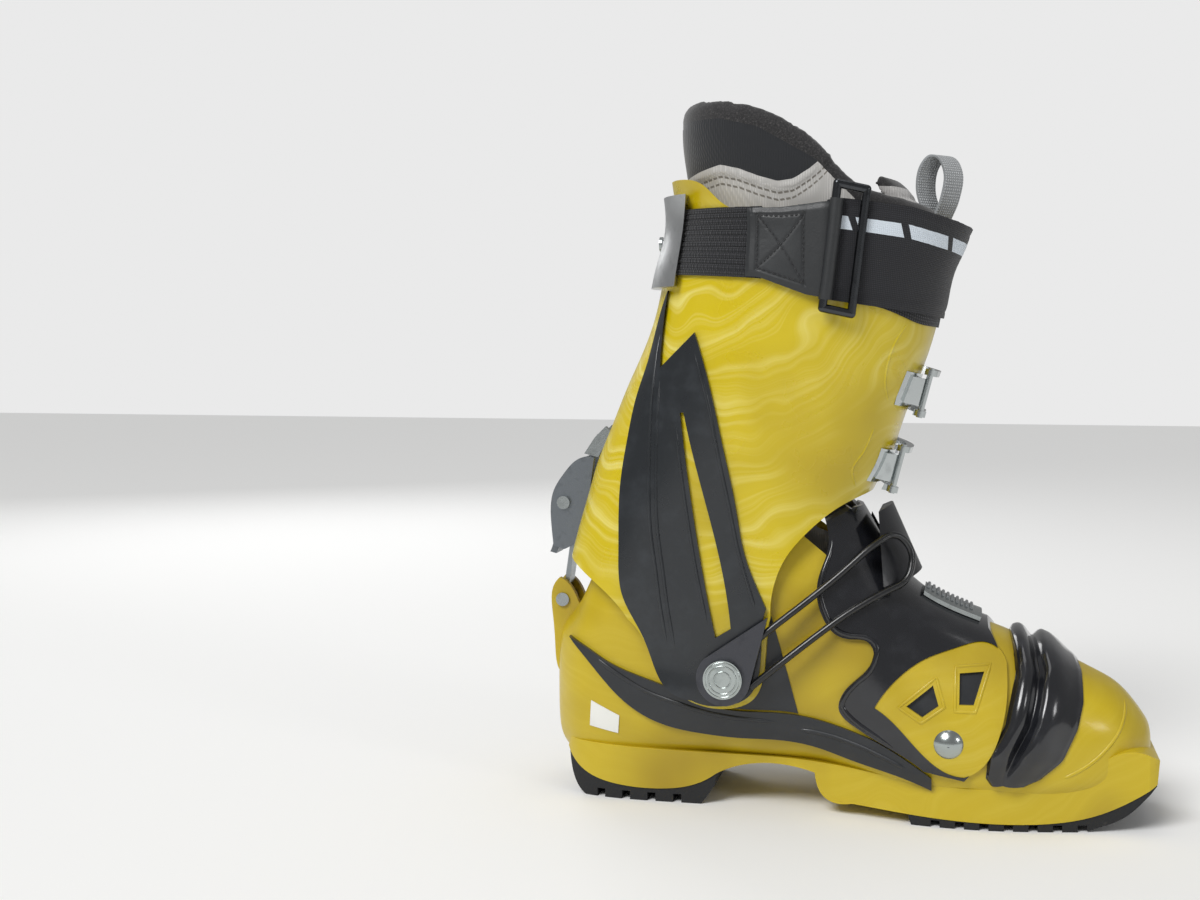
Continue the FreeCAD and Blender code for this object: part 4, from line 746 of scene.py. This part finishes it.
def joined(name: str, pieces: Sequence[bpy.types.Object]) -> bpy.types.Object:
    """Makes one object of several.

    Args:
        name: The new piece's name.
        pieces: What is joined.

    Returns:
        The joined object.
    """
    deselect()
    for piece in pieces:
        piece.select_set(True)
    bpy.context.view_layer.objects.active = pieces[0]
    bpy.ops.object.join()
    pieces[0].name = name
    return pieces[0]


# ---- sub-assemblies -----------------------------------------------------------------------

@dataclass
class Frame:
    """The CAD nodes that keep their shape."""

    def dress(self) -> None:
        """Puts each node's finish on it."""
        slots = {part["node"]: part["material_slot"] for part in frame["record"]["subparts"]}
        for name, node in frame["nodes"].items():
            node.data.materials.clear()
            node.data.materials.append(MATERIALS[slots[name]])
            LOG.info("%s keeps its CAD shape in %s", name, slots[name])


@dataclass
class Liner:
    """The padded liner: foot, leg and tongue, rounded from their CAD room."""

    voxel: float = 2.3
    rim_line: tuple[Pair, ...] = ((-90, 368), (-66, 367), (-46, 362), (-18, 346), (4, 324), (24, 318), (60, 300))
    seam_line: tuple[Pair, ...] = ((-90, 330), (-78, 333), (-66, 335.5), (-56, 333), (-46, 329), (-36, 326), (-28, 327),
                                   (-20, 332), (-14, 337), (-8, 344))
    tongue_rim: tuple[Pair, ...] = ((2, 329), (12, 330), (36, 328), (60, 330))

    def soft_copy(self, node: str, name: str, voxel: float, rounds: int) -> bpy.types.Object:
        """A soft-edged copy of a CAD node.

        Args:
            node: The CAD node.
            name: Name of the copy.
            voxel: Remesh size in millimetres.
            rounds: How often it is smoothed.

        Returns:
            The copy.
        """
        piece = frame["nodes"][node].copy()
        piece.data = frame["nodes"][node].data.copy()
        for key in list(piece.keys()):
            del piece[key]
        piece.parent = None
        piece.name = name
        bpy.context.scene.collection.objects.link(piece)
        pick(piece)
        bpy.ops.object.mode_set(mode="EDIT")
        bpy.ops.mesh.select_all(action="SELECT")
        bpy.ops.mesh.remove_doubles(threshold=0.00002)
        bpy.ops.object.mode_set(mode="OBJECT")
        apply_modifier(piece, "REMESH", mode="VOXEL", voxel_size=voxel * MM, adaptivity=0.0)
        apply_modifier(piece, "SMOOTH", factor=0.5, iterations=rounds)
        return piece

    def seams(self, piece: bpy.types.Object, rim_line: Sequence[Pair], seam_line: Sequence[Pair] | None) -> None:
        """Measures each point from the rim and from the patch's seam, and raises the patch and its piping.

        Args:
            piece: The soft piece.
            rim_line: Its top edge seen from the side.
            seam_line: The seam seen from the side, where it has one.
        """
        mesh = piece.data
        layers = {key: mesh.attributes.new(key, "FLOAT", "POINT") for key in ("seam", "rim", "run")}
        normals = [vertex.normal.copy() for vertex in mesh.vertices]
        for index, vertex in enumerate(mesh.vertices):
            x, y, z = vertex.co / MM
            axis = Vector((-28, 0, z)) * MM
            outside = (vertex.co - axis).dot(normals[index]) > 0
            rim = at_x(rim_line, x) - z
            seam = -50.0
            if seam_line and outside:
                seam = z - at_x(seam_line, x)
                push = 0.5 * ease((seam + 1.5) / 3) + 1.1 * bell(seam + 2.6, 1.5) - 0.5 * bell(seam + 6.0, 0.9)
                push -= 0.4 * bell(seam + 9.5, 0.9)
                vertex.co += normals[index] * push * MM
            if outside:
                vertex.co += normals[index] * (0.6 * bell(rim - 4.0, 4.0) - 0.7 * bell(rim - 9.5, 1.0)) * MM
            layers["seam"].data[index].value = seam
            layers["rim"].data[index].value = rim
            layers["run"].data[index].value = 200 + x + 0.3 * z
        mesh.update()

    def build(self) -> None:
        """Makes the three liner pieces."""
        leg = self.soft_copy("liner_cuff", "liner_leg", self.voxel, 6)
        self.seams(leg, self.rim_line, self.seam_line)
        smooth(leg, 180)
        dress(leg, "liner", "cuff", "liner_cuff")
        foot = self.soft_copy("liner_foot", "liner_bootie", 4.0, 3)
        self.seams(foot, ((-200, 400), (200, 400)), None)
        smooth(foot, 180)
        dress(foot, "liner", "lower", "liner_foot")
        tongue = self.soft_copy("liner_tongue", "liner_tongue_pad", 1.6, 4)
        self.seams(tongue, self.tongue_rim, None)
        smooth(tongue, 180)
        dress(tongue, "tongue", "cuff", "liner_tongue")


@dataclass
class PowerStrap:
    """The strap round the top of the cuff: ribbed webbing, a stitched rubber tab, and a wide striped front."""

    top: tuple[Pair, ...] = ((-130, 314), (-90, 314), (-33, 313), (-3, 316), (30, 312), (60, 304), (90, 299))
    foot: tuple[Pair, ...] = ((-130, 281), (-94, 280), (-44, 277), (-20, 268), (-1, 265), (20, 262), (52, 257),
                              (90, 252))
    cuff_top: tuple[Pair, ...] = ((-125, 330), (-86, 329), (-76, 326), (-66, 317), (-40, 307), (10, 299), (90, 297))
    axis_x: float = -25.0
    rib_count: int = 12
    rear_bar: tuple[float, float] = (-11.3, -5.7)
    bar_lift: float = 5.6
    fold_radius: float = 3.5
    fold_steps: int = 24

    def wrap(self, skin: Skin, turn: float, v: float, lift: float, drop: float = 0.0) -> Vector:
        """A point of the strap.

        Args:
            skin: What it lies on.
            turn: Direction from the shin's axis.
            v: From 0 at its lower edge to 1 at its upper edge.
            lift: Height over the skin.
            drop: How far it is slid down.

        Returns:
            The point.
        """
        x = self.axis_x
        z = 290.0
        for _ in range(3):
            low = at_x(self.foot, x)
            high = at_x(self.top, x)
            z = low + (high - low) * v - drop
            held = min(z, at_x(self.cuff_top, x) - 1.5)
            upper = skin.ring(self.axis_x, 0, turn, held, lift)
            while upper is None:
                held -= 2.0
                upper = skin.ring(self.axis_x, 0, turn, held, lift)
            lower = skin.ring(self.axis_x, 0, turn, held - 10.0, lift)
            found = upper + (upper - lower) * ((z - held) / 10.0)
            x = found.x
        return found

    def build(self) -> None:
        """Makes the strap's pieces."""
        form = Skin("upper_cuff")
        self.webbing(form)
        self.tab(form)
        self.front(form)
        self.under_layer(form)

    def turn_at(self, skin: Skin, x: float, side: int) -> float:
        """The direction from the axis to the strap at x on one side."""
        low, high = (0.02, math.pi - 0.02)
        for _ in range(24):
            middle = (low + high) / 2
            found = skin.ring(self.axis_x, 0, side * middle, 290.0)
            if found.x > x:
                low = middle
            else:
                high = middle
        return side * (low + high) / 2

    def webbing(self, skin: Skin) -> None:
        """The ribbed webbing from the lateral seam round the heel side to the tab."""
        start = 2 * math.pi + self.turn_at(skin, -43.0, MEDIAL)
        stop = self.turn_at(skin, -60.0, LATERAL)
        length = 0.15

        def place(u: float, v: float) -> Vector:
            """A point of the webbing, with its ribs."""
            rib = abs(math.sin(math.pi * v * self.rib_count)) ** 0.7
            twist = math.sin(2 * math.pi * u * 75 + math.pi * int(v * self.rib_count))
            edge = ease(min(v, 1 - v) * 14)
            return self.wrap(skin, start + (stop - start) * u, v, 2.1 + (0.8 * rib + 0.22 * twist * rib) * edge)

        piece = sheet_of("strap_webbing", 300, 96, place, lambda u, v: (u * length, v * 0.034))
        closed_sheet(piece, 1.8, Vector((self.axis_x, 0, 290)))
        dress(piece, "webbing", "cuff", "power_strap_webbing")

    def tab(self, skin: Skin) -> None:
        """The rubber tab, stitched over the webbing and folded round the ring."""
        start = self.turn_at(skin, -50.0, MEDIAL)
        stop = self.turn_at(skin, -8.5, MEDIAL)

        def place(u: float, v: float) -> Vector:
            """A point of the tab, with its sewn-down border and its fold."""
            border = min(v, 1 - v) * 38
            fold = 1.6 * bell((u - 0.93) * 44, 6.0)
            lift = 3.3 + 0.9 * ease(border / 3) * ease(u * 20) + fold
            box = min(abs((u - 0.13) * 44), abs((u - 0.68) * 44), abs(border - 4.0))
            inside = 0.1 < u < 0.71 and border > 3.0
            if inside:
                lift -= 0.45 * bell(box, 0.8)
                s = (u - 0.13) / 0.55
                w = (v - 0.12) / 0.76
                lift -= 0.4 * bell(min(abs(s - w), abs(s + w - 1)) * 22, 0.8)
            return self.wrap(skin, start + (stop - start) * u, 0.015 + 0.97 * v, lift)

        sheet = sheet_of("strap_tab", 90, 76, place, lambda u, v: (u * 0.044, v * 0.04))
        closed_sheet(sheet, 2.4, Vector((self.axis_x, 0, 290)))
        piece = joined("strap_tab", [sheet, self.fold(skin)])
        dress(piece, "strap_rubber", "cuff", "power_strap_tab")
        stitches = []
        corners = [(0.13, 0.12), (0.68, 0.12), (0.68, 0.88), (0.13, 0.88), (0.13, 0.12), (0.68, 0.88)]
        paths = list(zip(corners, corners[1:])) + [((0.68, 0.12), (0.13, 0.88))]
        for (u0, v0), (u1, v1) in paths:
            run = math.hypot((u1 - u0) * 44, (v1 - v0) * 40)
            count = max(3, int(run / 2.6))
            for step in range(count):
                ends = []
                for t in (step / count, (step + 0.62) / count):
                    ends.append(place(u0 + (u1 - u0) * t, v0 + (v1 - v0) * t))
                middle = (ends[0] + ends[1]) / 2
                out = Vector((middle.x - self.axis_x, middle.y, 0)).normalized()
                stitches.append(cord_along("stitch", [ends[0], middle + out * 0.3, ends[1]], 0.34, taper=False))
        threads = joined("strap_stitches", stitches)
        dress(threads, "webbing", "cuff")
        threads.data.uv_layers.new(name="UVMap")

    def fold(self, skin: Skin) -> bpy.types.Object:
        """The tab's roll round the ring's rear bar."""
        low_x, high_x = self.rear_bar
        points = []
        for step in range(self.fold_steps + 1):
            v = step / self.fold_steps
            turn = self.turn_at(skin, low_x + (high_x - low_x) * v, MEDIAL)
            points.append(self.wrap(skin, turn, v, self.bar_lift))
        roll = cord_along("tab_fold", points, self.fold_radius, taper=False)
        roll.data.uv_layers.new(name="UVMap")
        return roll

    def front(self, skin: Skin) -> None:
        """The wide striped webbing from the ring round the shin to the lateral seam."""
        start = self.turn_at(skin, -10.5, MEDIAL)
        stop = self.turn_at(skin, -62.5, LATERAL)

        def place(u: float, v: float) -> Vector:
            """A point of the front strap, a little crowned, with firm edges."""
            edge = min(v, 1 - v)
            crown = 0.5 * ease(edge * 5) - 0.3 * bell((edge - 0.07) * 45, 0.9)
            return self.wrap(skin, start + (stop - start) * u, v, 2.9 + crown)

        piece = sheet_of("strap_front", 170, 44, place, lambda u, v: (u * 0.225, v * 0.047))
        closed_sheet(piece, 2.3, Vector((self.axis_x, 0, 290)))
        piece.data.materials.clear()
        dress(piece, "webbing", "cuff", "power_strap_front")
        piece.data.materials[0] = MATERIALS["striped_webbing"]

    def under_layer(self, skin: Skin) -> None:
        """The loose end of the strap, which shows under the front's lower edge."""
        start = self.turn_at(skin, 12.0, MEDIAL)
        stop = self.turn_at(skin, 30.0, LATERAL)

        def place(u: float, v: float) -> Vector:
            """A point of the loose end."""
            slide = 5.5 * ease(u * 3)
            return self.wrap(skin, start + (stop - start) * u, v * 0.5, 0.5 + 0.8 * (1 - v), slide)

        piece = sheet_of("strap_under_layer", 60, 12, place, lambda u, v: (u * 0.08, v * 0.02))
        closed_sheet(piece, 0.4, Vector((self.axis_x, 0, 290)))
        dress(piece, "webbing", "cuff")


@dataclass
class PullLoop:
    """The webbing loop on the liner's front edge."""

    path: tuple[Pair, ...] = ((34, 312), (31, 323), (32, 334), (37, 341), (43, 339), (46, 330), (44, 318), (40, 308))
    low_y: float = -15.0
    across: tuple[float, float] = (9.0, 11.0)

    def build(self) -> None:
        """Makes the loop."""
        line = blended([(x, 0, z) for x, z in self.path], 61)

        def place(u: float, v: float) -> Vector:
            """A point of the loop's band."""
            point = line[min(60, int(round(u * 60)))]
            return Vector((point.x + self.across[0] * v, self.low_y + self.across[1] * v, point.z))

        piece = sheet_of("pull_loop_band", 60, 10, place, lambda u, v: (u * 0.09, v * 0.014))
        closed_sheet(piece, 1.4, Vector((43, -9, 326)), rim=0.3)
        dress(piece, "loop", "cuff", "pull_loop")


@dataclass
class CuffRelief:
    """Raised lines and facets on the cuff and its overlays."""

    groove: tuple[Pair, ...] = ((-92, 270), (-97, 250), (-99, 228), (-100, 206), (-100, 171), (-99, 149), (-96, 127),
                                (-93, 105), (-88, 79))
    front_edge: tuple[Pair, ...] = ((-78, 247), (-68.5, 217), (-63, 190), (-57, 162), (-52, 138), (-45.5, 116),
                                    (-43, 108))
    slot_edge: tuple[Pair, ...] = ((-86.5, 208), (-81.5, 171), (-75.5, 133), (-67.5, 94))
    facets: tuple[tuple[Pair, ...], ...] = (((31, 258), (22, 243), (18, 226), (20, 212)),
                                            ((14, 205), (8, 190), (2, 180), (4, 168)))

    def rib(self, skin: Skin, line: Sequence[Pair], side: int, radius: float, lift: float,
            name: str) -> bpy.types.Object:
        """A rib along a line on one side.

        Args:
            skin: What it lies on.
            line: Its points in the side view.
            side: Which side.
            radius: Its radius.
            lift: Its height over the skin.
            name: Its name.

        Returns:
            The rib.
        """
        flat = blended([(x, 0, z) for x, z in line], 48)
        points = [skin.side(point.x, point.z, side, lift) for point in flat]
        return cord_along(name, [point for point in points if point is not None], radius)

    def build(self) -> None:
        """Makes the ribs of both sides."""
        for side, word in ((MEDIAL, "medial"), (LATERAL, "lateral")):
            skin = Skin(f"cuff_overlay_{word}")
            for title, line, radius in (("groove_front", [(x + 2.4, z) for x, z in self.groove], 0.9),
                                        ("groove_back", [(x - 1.4, z) for x, z in self.groove], 0.9),
                                        ("front_edge", [(x - 2.2, z) for x, z in self.front_edge], 0.9),
                                        ("slot_edge", [(x - 1.5, z) for x, z in self.slot_edge], 0.8)):
                rib = self.rib(skin, line, side, radius, -0.25, f"overlay_{title}_{word}")
                dress(rib, "overlay", "cuff")
            cuff_skin = Skin("upper_cuff")
            for index, line in enumerate(self.facets):
                rib = self.rib(cuff_skin, line, side, 1.1, -0.75, f"cuff_facet_{index}_{word}")
                dress(rib, "cuff", "cuff")


@dataclass
class ForefootRelief:
    """The bellows' lobes, the panels' window frames, the flap's rim and the rail's ribs."""

    back: tuple[Pair, ...] = ((77, 112), (84, 91), (85, 79), (80, 55), (72, 39), (71, 28), (74, 24))
    front: tuple[Pair, ...] = ((104, 104), (113, 90), (117, 80), (117, 67), (114, 54), (107, 38), (96, 28), (89, 25))
    windows: tuple[tuple[Pair, ...], ...] = (((31, 62), (44, 73), (47, 63), (39, 57)),
                                             ((57, 79), (69, 80), (64, 64), (57, 64)))
    window_grow: float = 1.42
    toe_crease: tuple[Pair, ...] = ((119, 84), (134, 73), (139, 63), (135, 50), (122, 36), (104, 26))
    ring_shares: tuple[float, ...] = (0.42, 0.72, 0.9)
    flap_edge: tuple[Pair, ...] = ((-9, 152), (-8, 140), (-12, 127), (-13, 116), (-9, 104), (-4, 98), (2, 96), (11, 95),
                                   (16, 90), (13, 79), (6, 72), (1, 66), (-1, 59), (7, 51), (21, 43), (38, 32))
    rail_upper: tuple[Pair, ...] = ((-136, 79), (-122, 70), (-105, 61), (-88, 56), (-70, 52), (-50, 50), (-28, 49))
    rail_lower: tuple[Pair, ...] = ((-26, 46), (-10, 44), (6, 40), (20, 35), (34, 29))

    def bellows(self) -> None:
        """The bellows: a slim rib behind and a full lobe in front."""
        skin = Skin("toe_bellows", "lower_shell")
        low_turn, high_turn = math.radians(186), math.radians(-6)

        def place(u: float, v: float) -> Vector:
            """A point of the bellows, from the medial foot over the top to the lateral foot."""
            turn = low_turn + (high_turn - low_turn) * v
            x = 95.0
            z = 60.0
            for _ in range(4):
                x = at_z(self.back, z) * (1 - u) + at_z(self.front, z) * u
                found = skin.section(x, 30, turn)
                if found is None:
                    break
                z = found.z
            bare = Skin.section(self.shell, x, 30, turn)
            ends = ease(min(v, 1 - v) * 9)
            slim = 3.4 * bell((u - 0.16) * 6.2, 0.8)
            full = 5.2 * ease((u - 0.3) / 0.22) * ease((1 - u) / 0.42)
            step = 1.3 * bell((u - 0.34) * 12, 1.0)
            rise = 1.2 + (slim + full - step) * (0.25 + 0.75 * ends)
            rise *= ease(min(u, 1 - u) * 16) * 0.9 + 0.1
            base = bare if bare is not None else found
            out = Vector((0, math.cos(turn), math.sin(turn)))
            return base + out * rise

        self.shell = Skin("lower_shell")
        piece = sheet_of("bellows_lobes", 46, 96, place)
        closed_sheet(piece, 1.0, Vector((95, 0, 30)))
        dress(piece, "bellows", "lower", "toe_bellows")

    def ladder_teeth(self) -> None:
        """The teeth across the toe strap's ladder."""
        low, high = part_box("toe_ladder")
        skin = Skin("toe_ladder")
        teeth = []
        for step in range(11):
            x = low[0] / MM + (high[0] - low[0]) / MM * (0.1 + 0.08 * step)
            y = (low[1] + high[1]) / MM / 2
            half = (high[1] - low[1]) / MM * 0.36
            points = [skin.hit(Vector((x, y + half * t, 300)), Vector((0, 0, -1)), 0.3) for t in (-1, -0.5, 0, 0.5, 1)]
            if all(point is not None for point in points):
                teeth.append(cord_along("tooth", points, 0.95, taper=False))
        dress(joined("ladder_teeth", teeth), "buckle", "lower")

    def window_shade_plates(self) -> None:
        """Dark plates laid on the floors of the panels' windows: painted shade that makes the windows look black."""
        for side, word in ((MEDIAL, "medial"), (LATERAL, "lateral")):
            skin = Skin(f"metatarsal_panel_{word}", "lower_shell")
            shade_plates = []
            for window in self.windows:
                middle = Vector((sum(x for x, _ in window) / 4, sum(z for _, z in window) / 4))
                core = skin.side(middle.x, middle.y, side, 0.5)
                corners = []
                for corner in window:
                    spot = middle + (Vector(corner) - middle) * 0.4
                    found = skin.side(spot.x, spot.y, side, 0.5)
                    corners.append(core + (found - core) * self.window_grow / 0.4 * 0.93)

                def place(u: float, v: float) -> Vector:
                    """A point of the dark plate, which is painted shade."""
                    return corners[0].lerp(corners[3], u).lerp(corners[1].lerp(corners[2], u), v)

                # painted shade: a dark sheet stands for the shade in the window's recess
                floor = sheet_of("window_shade_plate", 6, 6, place)
                closed_sheet(floor, 0.8, Vector((50, 0, 60)))
                shade_plates.append(floor)
            dress(joined(f"window_shade_plates_{word}", shade_plates), "trim", "lower")

    def build(self) -> None:
        """Makes all the forefoot's relief."""
        self.bellows()
        self.window_shade_plates()
        self.ladder_teeth()
        cuff_ribs = CuffRelief()
        for side, word in ((MEDIAL, "medial"), (LATERAL, "lateral")):
            panel = Skin(f"metatarsal_panel_{word}")
            frames = []
            for window in self.windows:
                middle = Vector((sum(x for x, _ in window) / 4, sum(z for _, z in window) / 4))
                grown = [middle + (Vector(corner) - middle) * self.window_grow for corner in window]
                loop = []
                for start, end in zip(grown, grown[1:] + grown[:1]):
                    for step in range(8):
                        spot = start + (end - start) * step / 8
                        found = panel.side(spot.x, spot.y, side, -0.5)
                        if found is not None:
                            loop.append(found)
                frames.append(cord_along("window_frame", loop, 1.0, taper=False, closed=True))
            dress(joined(f"window_frames_{word}", frames), "panel", "lower")
            flap = Skin("instep_flap")
            rim = cuff_ribs.rib(flap, self.flap_edge, side, 1.5, -0.5, f"flap_rim_{word}")
            dress(rim, "flap", "lower")
            rail = Skin(f"side_rail_{word}")
            for title, line in (("upper", self.rail_upper), ("lower", self.rail_lower)):
                rib = cuff_ribs.rib(rail, line, side, 1.3, -0.5, f"rail_rib_{title}_{word}")
                dress(rib, "trim", "lower")
            crease = cuff_ribs.rib(Skin("lower_shell"), self.toe_crease, side, 1.2, -0.7, f"toe_crease_{word}")
            dress(crease, "shell", "lower")
            self.rivet_rings(word, side)

    def rivet_rings(self, word: str, side: int) -> None:
        """The stamped rings on an ankle rivet's head."""
        low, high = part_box(f"ankle_rivet_{word}")
        skin = Skin(f"ankle_rivet_{word}")
        x, z = (low[0] + high[0]) / MM / 2, (low[2] + high[2]) / MM / 2
        reach = (high[0] - low[0]) / MM / 2
        rings = []
        for share in self.ring_shares:
            loop = []
            for step in range(40):
                turn = math.tau * step / 40
                found = skin.side(x + math.cos(turn) * reach * share, z + math.sin(turn) * reach * share, side, -0.1)
                if found is not None:
                    loop.append(found)
            rings.append(cord_along("stamped_ring", loop, 0.42, taper=False, closed=True))
        dress(joined(f"rivet_rings_{word}", rings), "rivet", "lower")


@dataclass
class Studio:
    """A plain pale floor, soft lights and the camera."""

    camera_place: tuple[float, float, float] = (0.0584, -0.8569, 0.2456)
    camera_aim: tuple[float, float, float] = (-0.1323, -0.0306, 0.1875)
    lens: float = 47.7
    lights: tuple[tuple[str, tuple[float, float, float], float, float], ...] = (
        ("key", (-0.7, -1.3, 1.2), 0.5, 5.0),
        ("fill", (1.5, -0.9, 0.7), 0.35, 3.0),
        ("top", (0.1, 0.1, 1.7), 0.8, 3.0),
        ("back", (-0.9, 1.2, 0.9), 0.7, 5.0),
    )
    aim: tuple[float, float, float] = (-0.02, 0.0, 0.17)
    ambient: float = 0.3
    backdrop: float = 0.86
    sun: float = 1.75

    def build(self) -> None:
        """Makes the floor, the lights, the world and the camera."""
        deselect()
        bpy.ops.mesh.primitive_plane_add(size=8, location=(0, 0, CAD_BOX[0][2] if CAD_BOX else 0))
        floor = bpy.context.active_object
        floor.name = "floor"
        material, _, shader, _ = Finish("pale_paper").start()
        shader.inputs["Base Color"].default_value = linear("#f4f4f3")
        shader.inputs["Roughness"].default_value = 0.9
        floor.data.materials.append(material)
        world = bpy.data.worlds.new("studio")
        bpy.context.scene.world = world
        world.use_nodes = True
        world.node_tree.nodes["Background"].inputs["Color"].default_value = linear("#fafafa")
        world.node_tree.nodes["Background"].inputs["Strength"].default_value = self.ambient
        wall = add_node(world.node_tree, "ShaderNodeBackground", {"Color": linear("#fafafa"),
                                                                  "Strength": self.backdrop})
        seen = add_node(world.node_tree, "ShaderNodeLightPath").outputs["Is Camera Ray"]
        both = add_node(world.node_tree, "ShaderNodeMixShader",
                        {0: seen, 1: world.node_tree.nodes["Background"].outputs[0], 2: wall.outputs[0]})
        world.node_tree.links.new(both.outputs[0], world.node_tree.nodes["World Output"].inputs["Surface"])
        daylight = bpy.data.lights.new("window", "SUN")
        daylight.energy = self.sun
        daylight.angle = math.radians(28)
        window = bpy.data.objects.new("window", daylight)
        window.rotation_euler = Vector((0.5, 1.0, -1.15)).to_track_quat("-Z", "Y").to_euler()
        bpy.context.scene.collection.objects.link(window)
        for name, place, width, power in self.lights:
            light = bpy.data.lights.new(name, "AREA")
            light.size = width
            light.energy = power
            lamp = bpy.data.objects.new(name, light)
            lamp.location = place
            lamp.rotation_euler = (Vector(self.aim) - Vector(place)).to_track_quat("-Z", "Y").to_euler()
            bpy.context.scene.collection.objects.link(lamp)
        lens = bpy.data.cameras.new("camera")
        lens.lens = self.lens
        lens.sensor_width = 36.0
        camera = bpy.data.objects.new("camera", lens)
        camera.location = self.camera_place
        heading = Vector(self.camera_aim) - Vector(self.camera_place)
        camera.rotation_euler = heading.to_track_quat("-Z", "Y").to_euler()
        bpy.context.scene.collection.objects.link(camera)
        bpy.context.scene.camera = camera
        bpy.context.scene.view_settings.view_transform = "Standard"


def main() -> None:
    """Builds the studio, the finishes and each sub-assembly in turn."""
    logging.basicConfig(level=logging.INFO, format="%(message)s")
    Studio().build()
    for slot, finish in FINISHES.items():
        MATERIALS[slot] = finish.build()
    MATERIALS["striped_webbing"] = StripedWebbing("striped_elastic_webbing", colour="#0e0f13", thread="#2d2e35",
                                                  thread_mm=0.9, depth=0.35).build()
    Frame().dress()
    Liner().build()
    PowerStrap().build()
    PullLoop().build()
    CuffRelief().build()
    ForefootRelief().build()


if __name__ == "__main__":
    main()
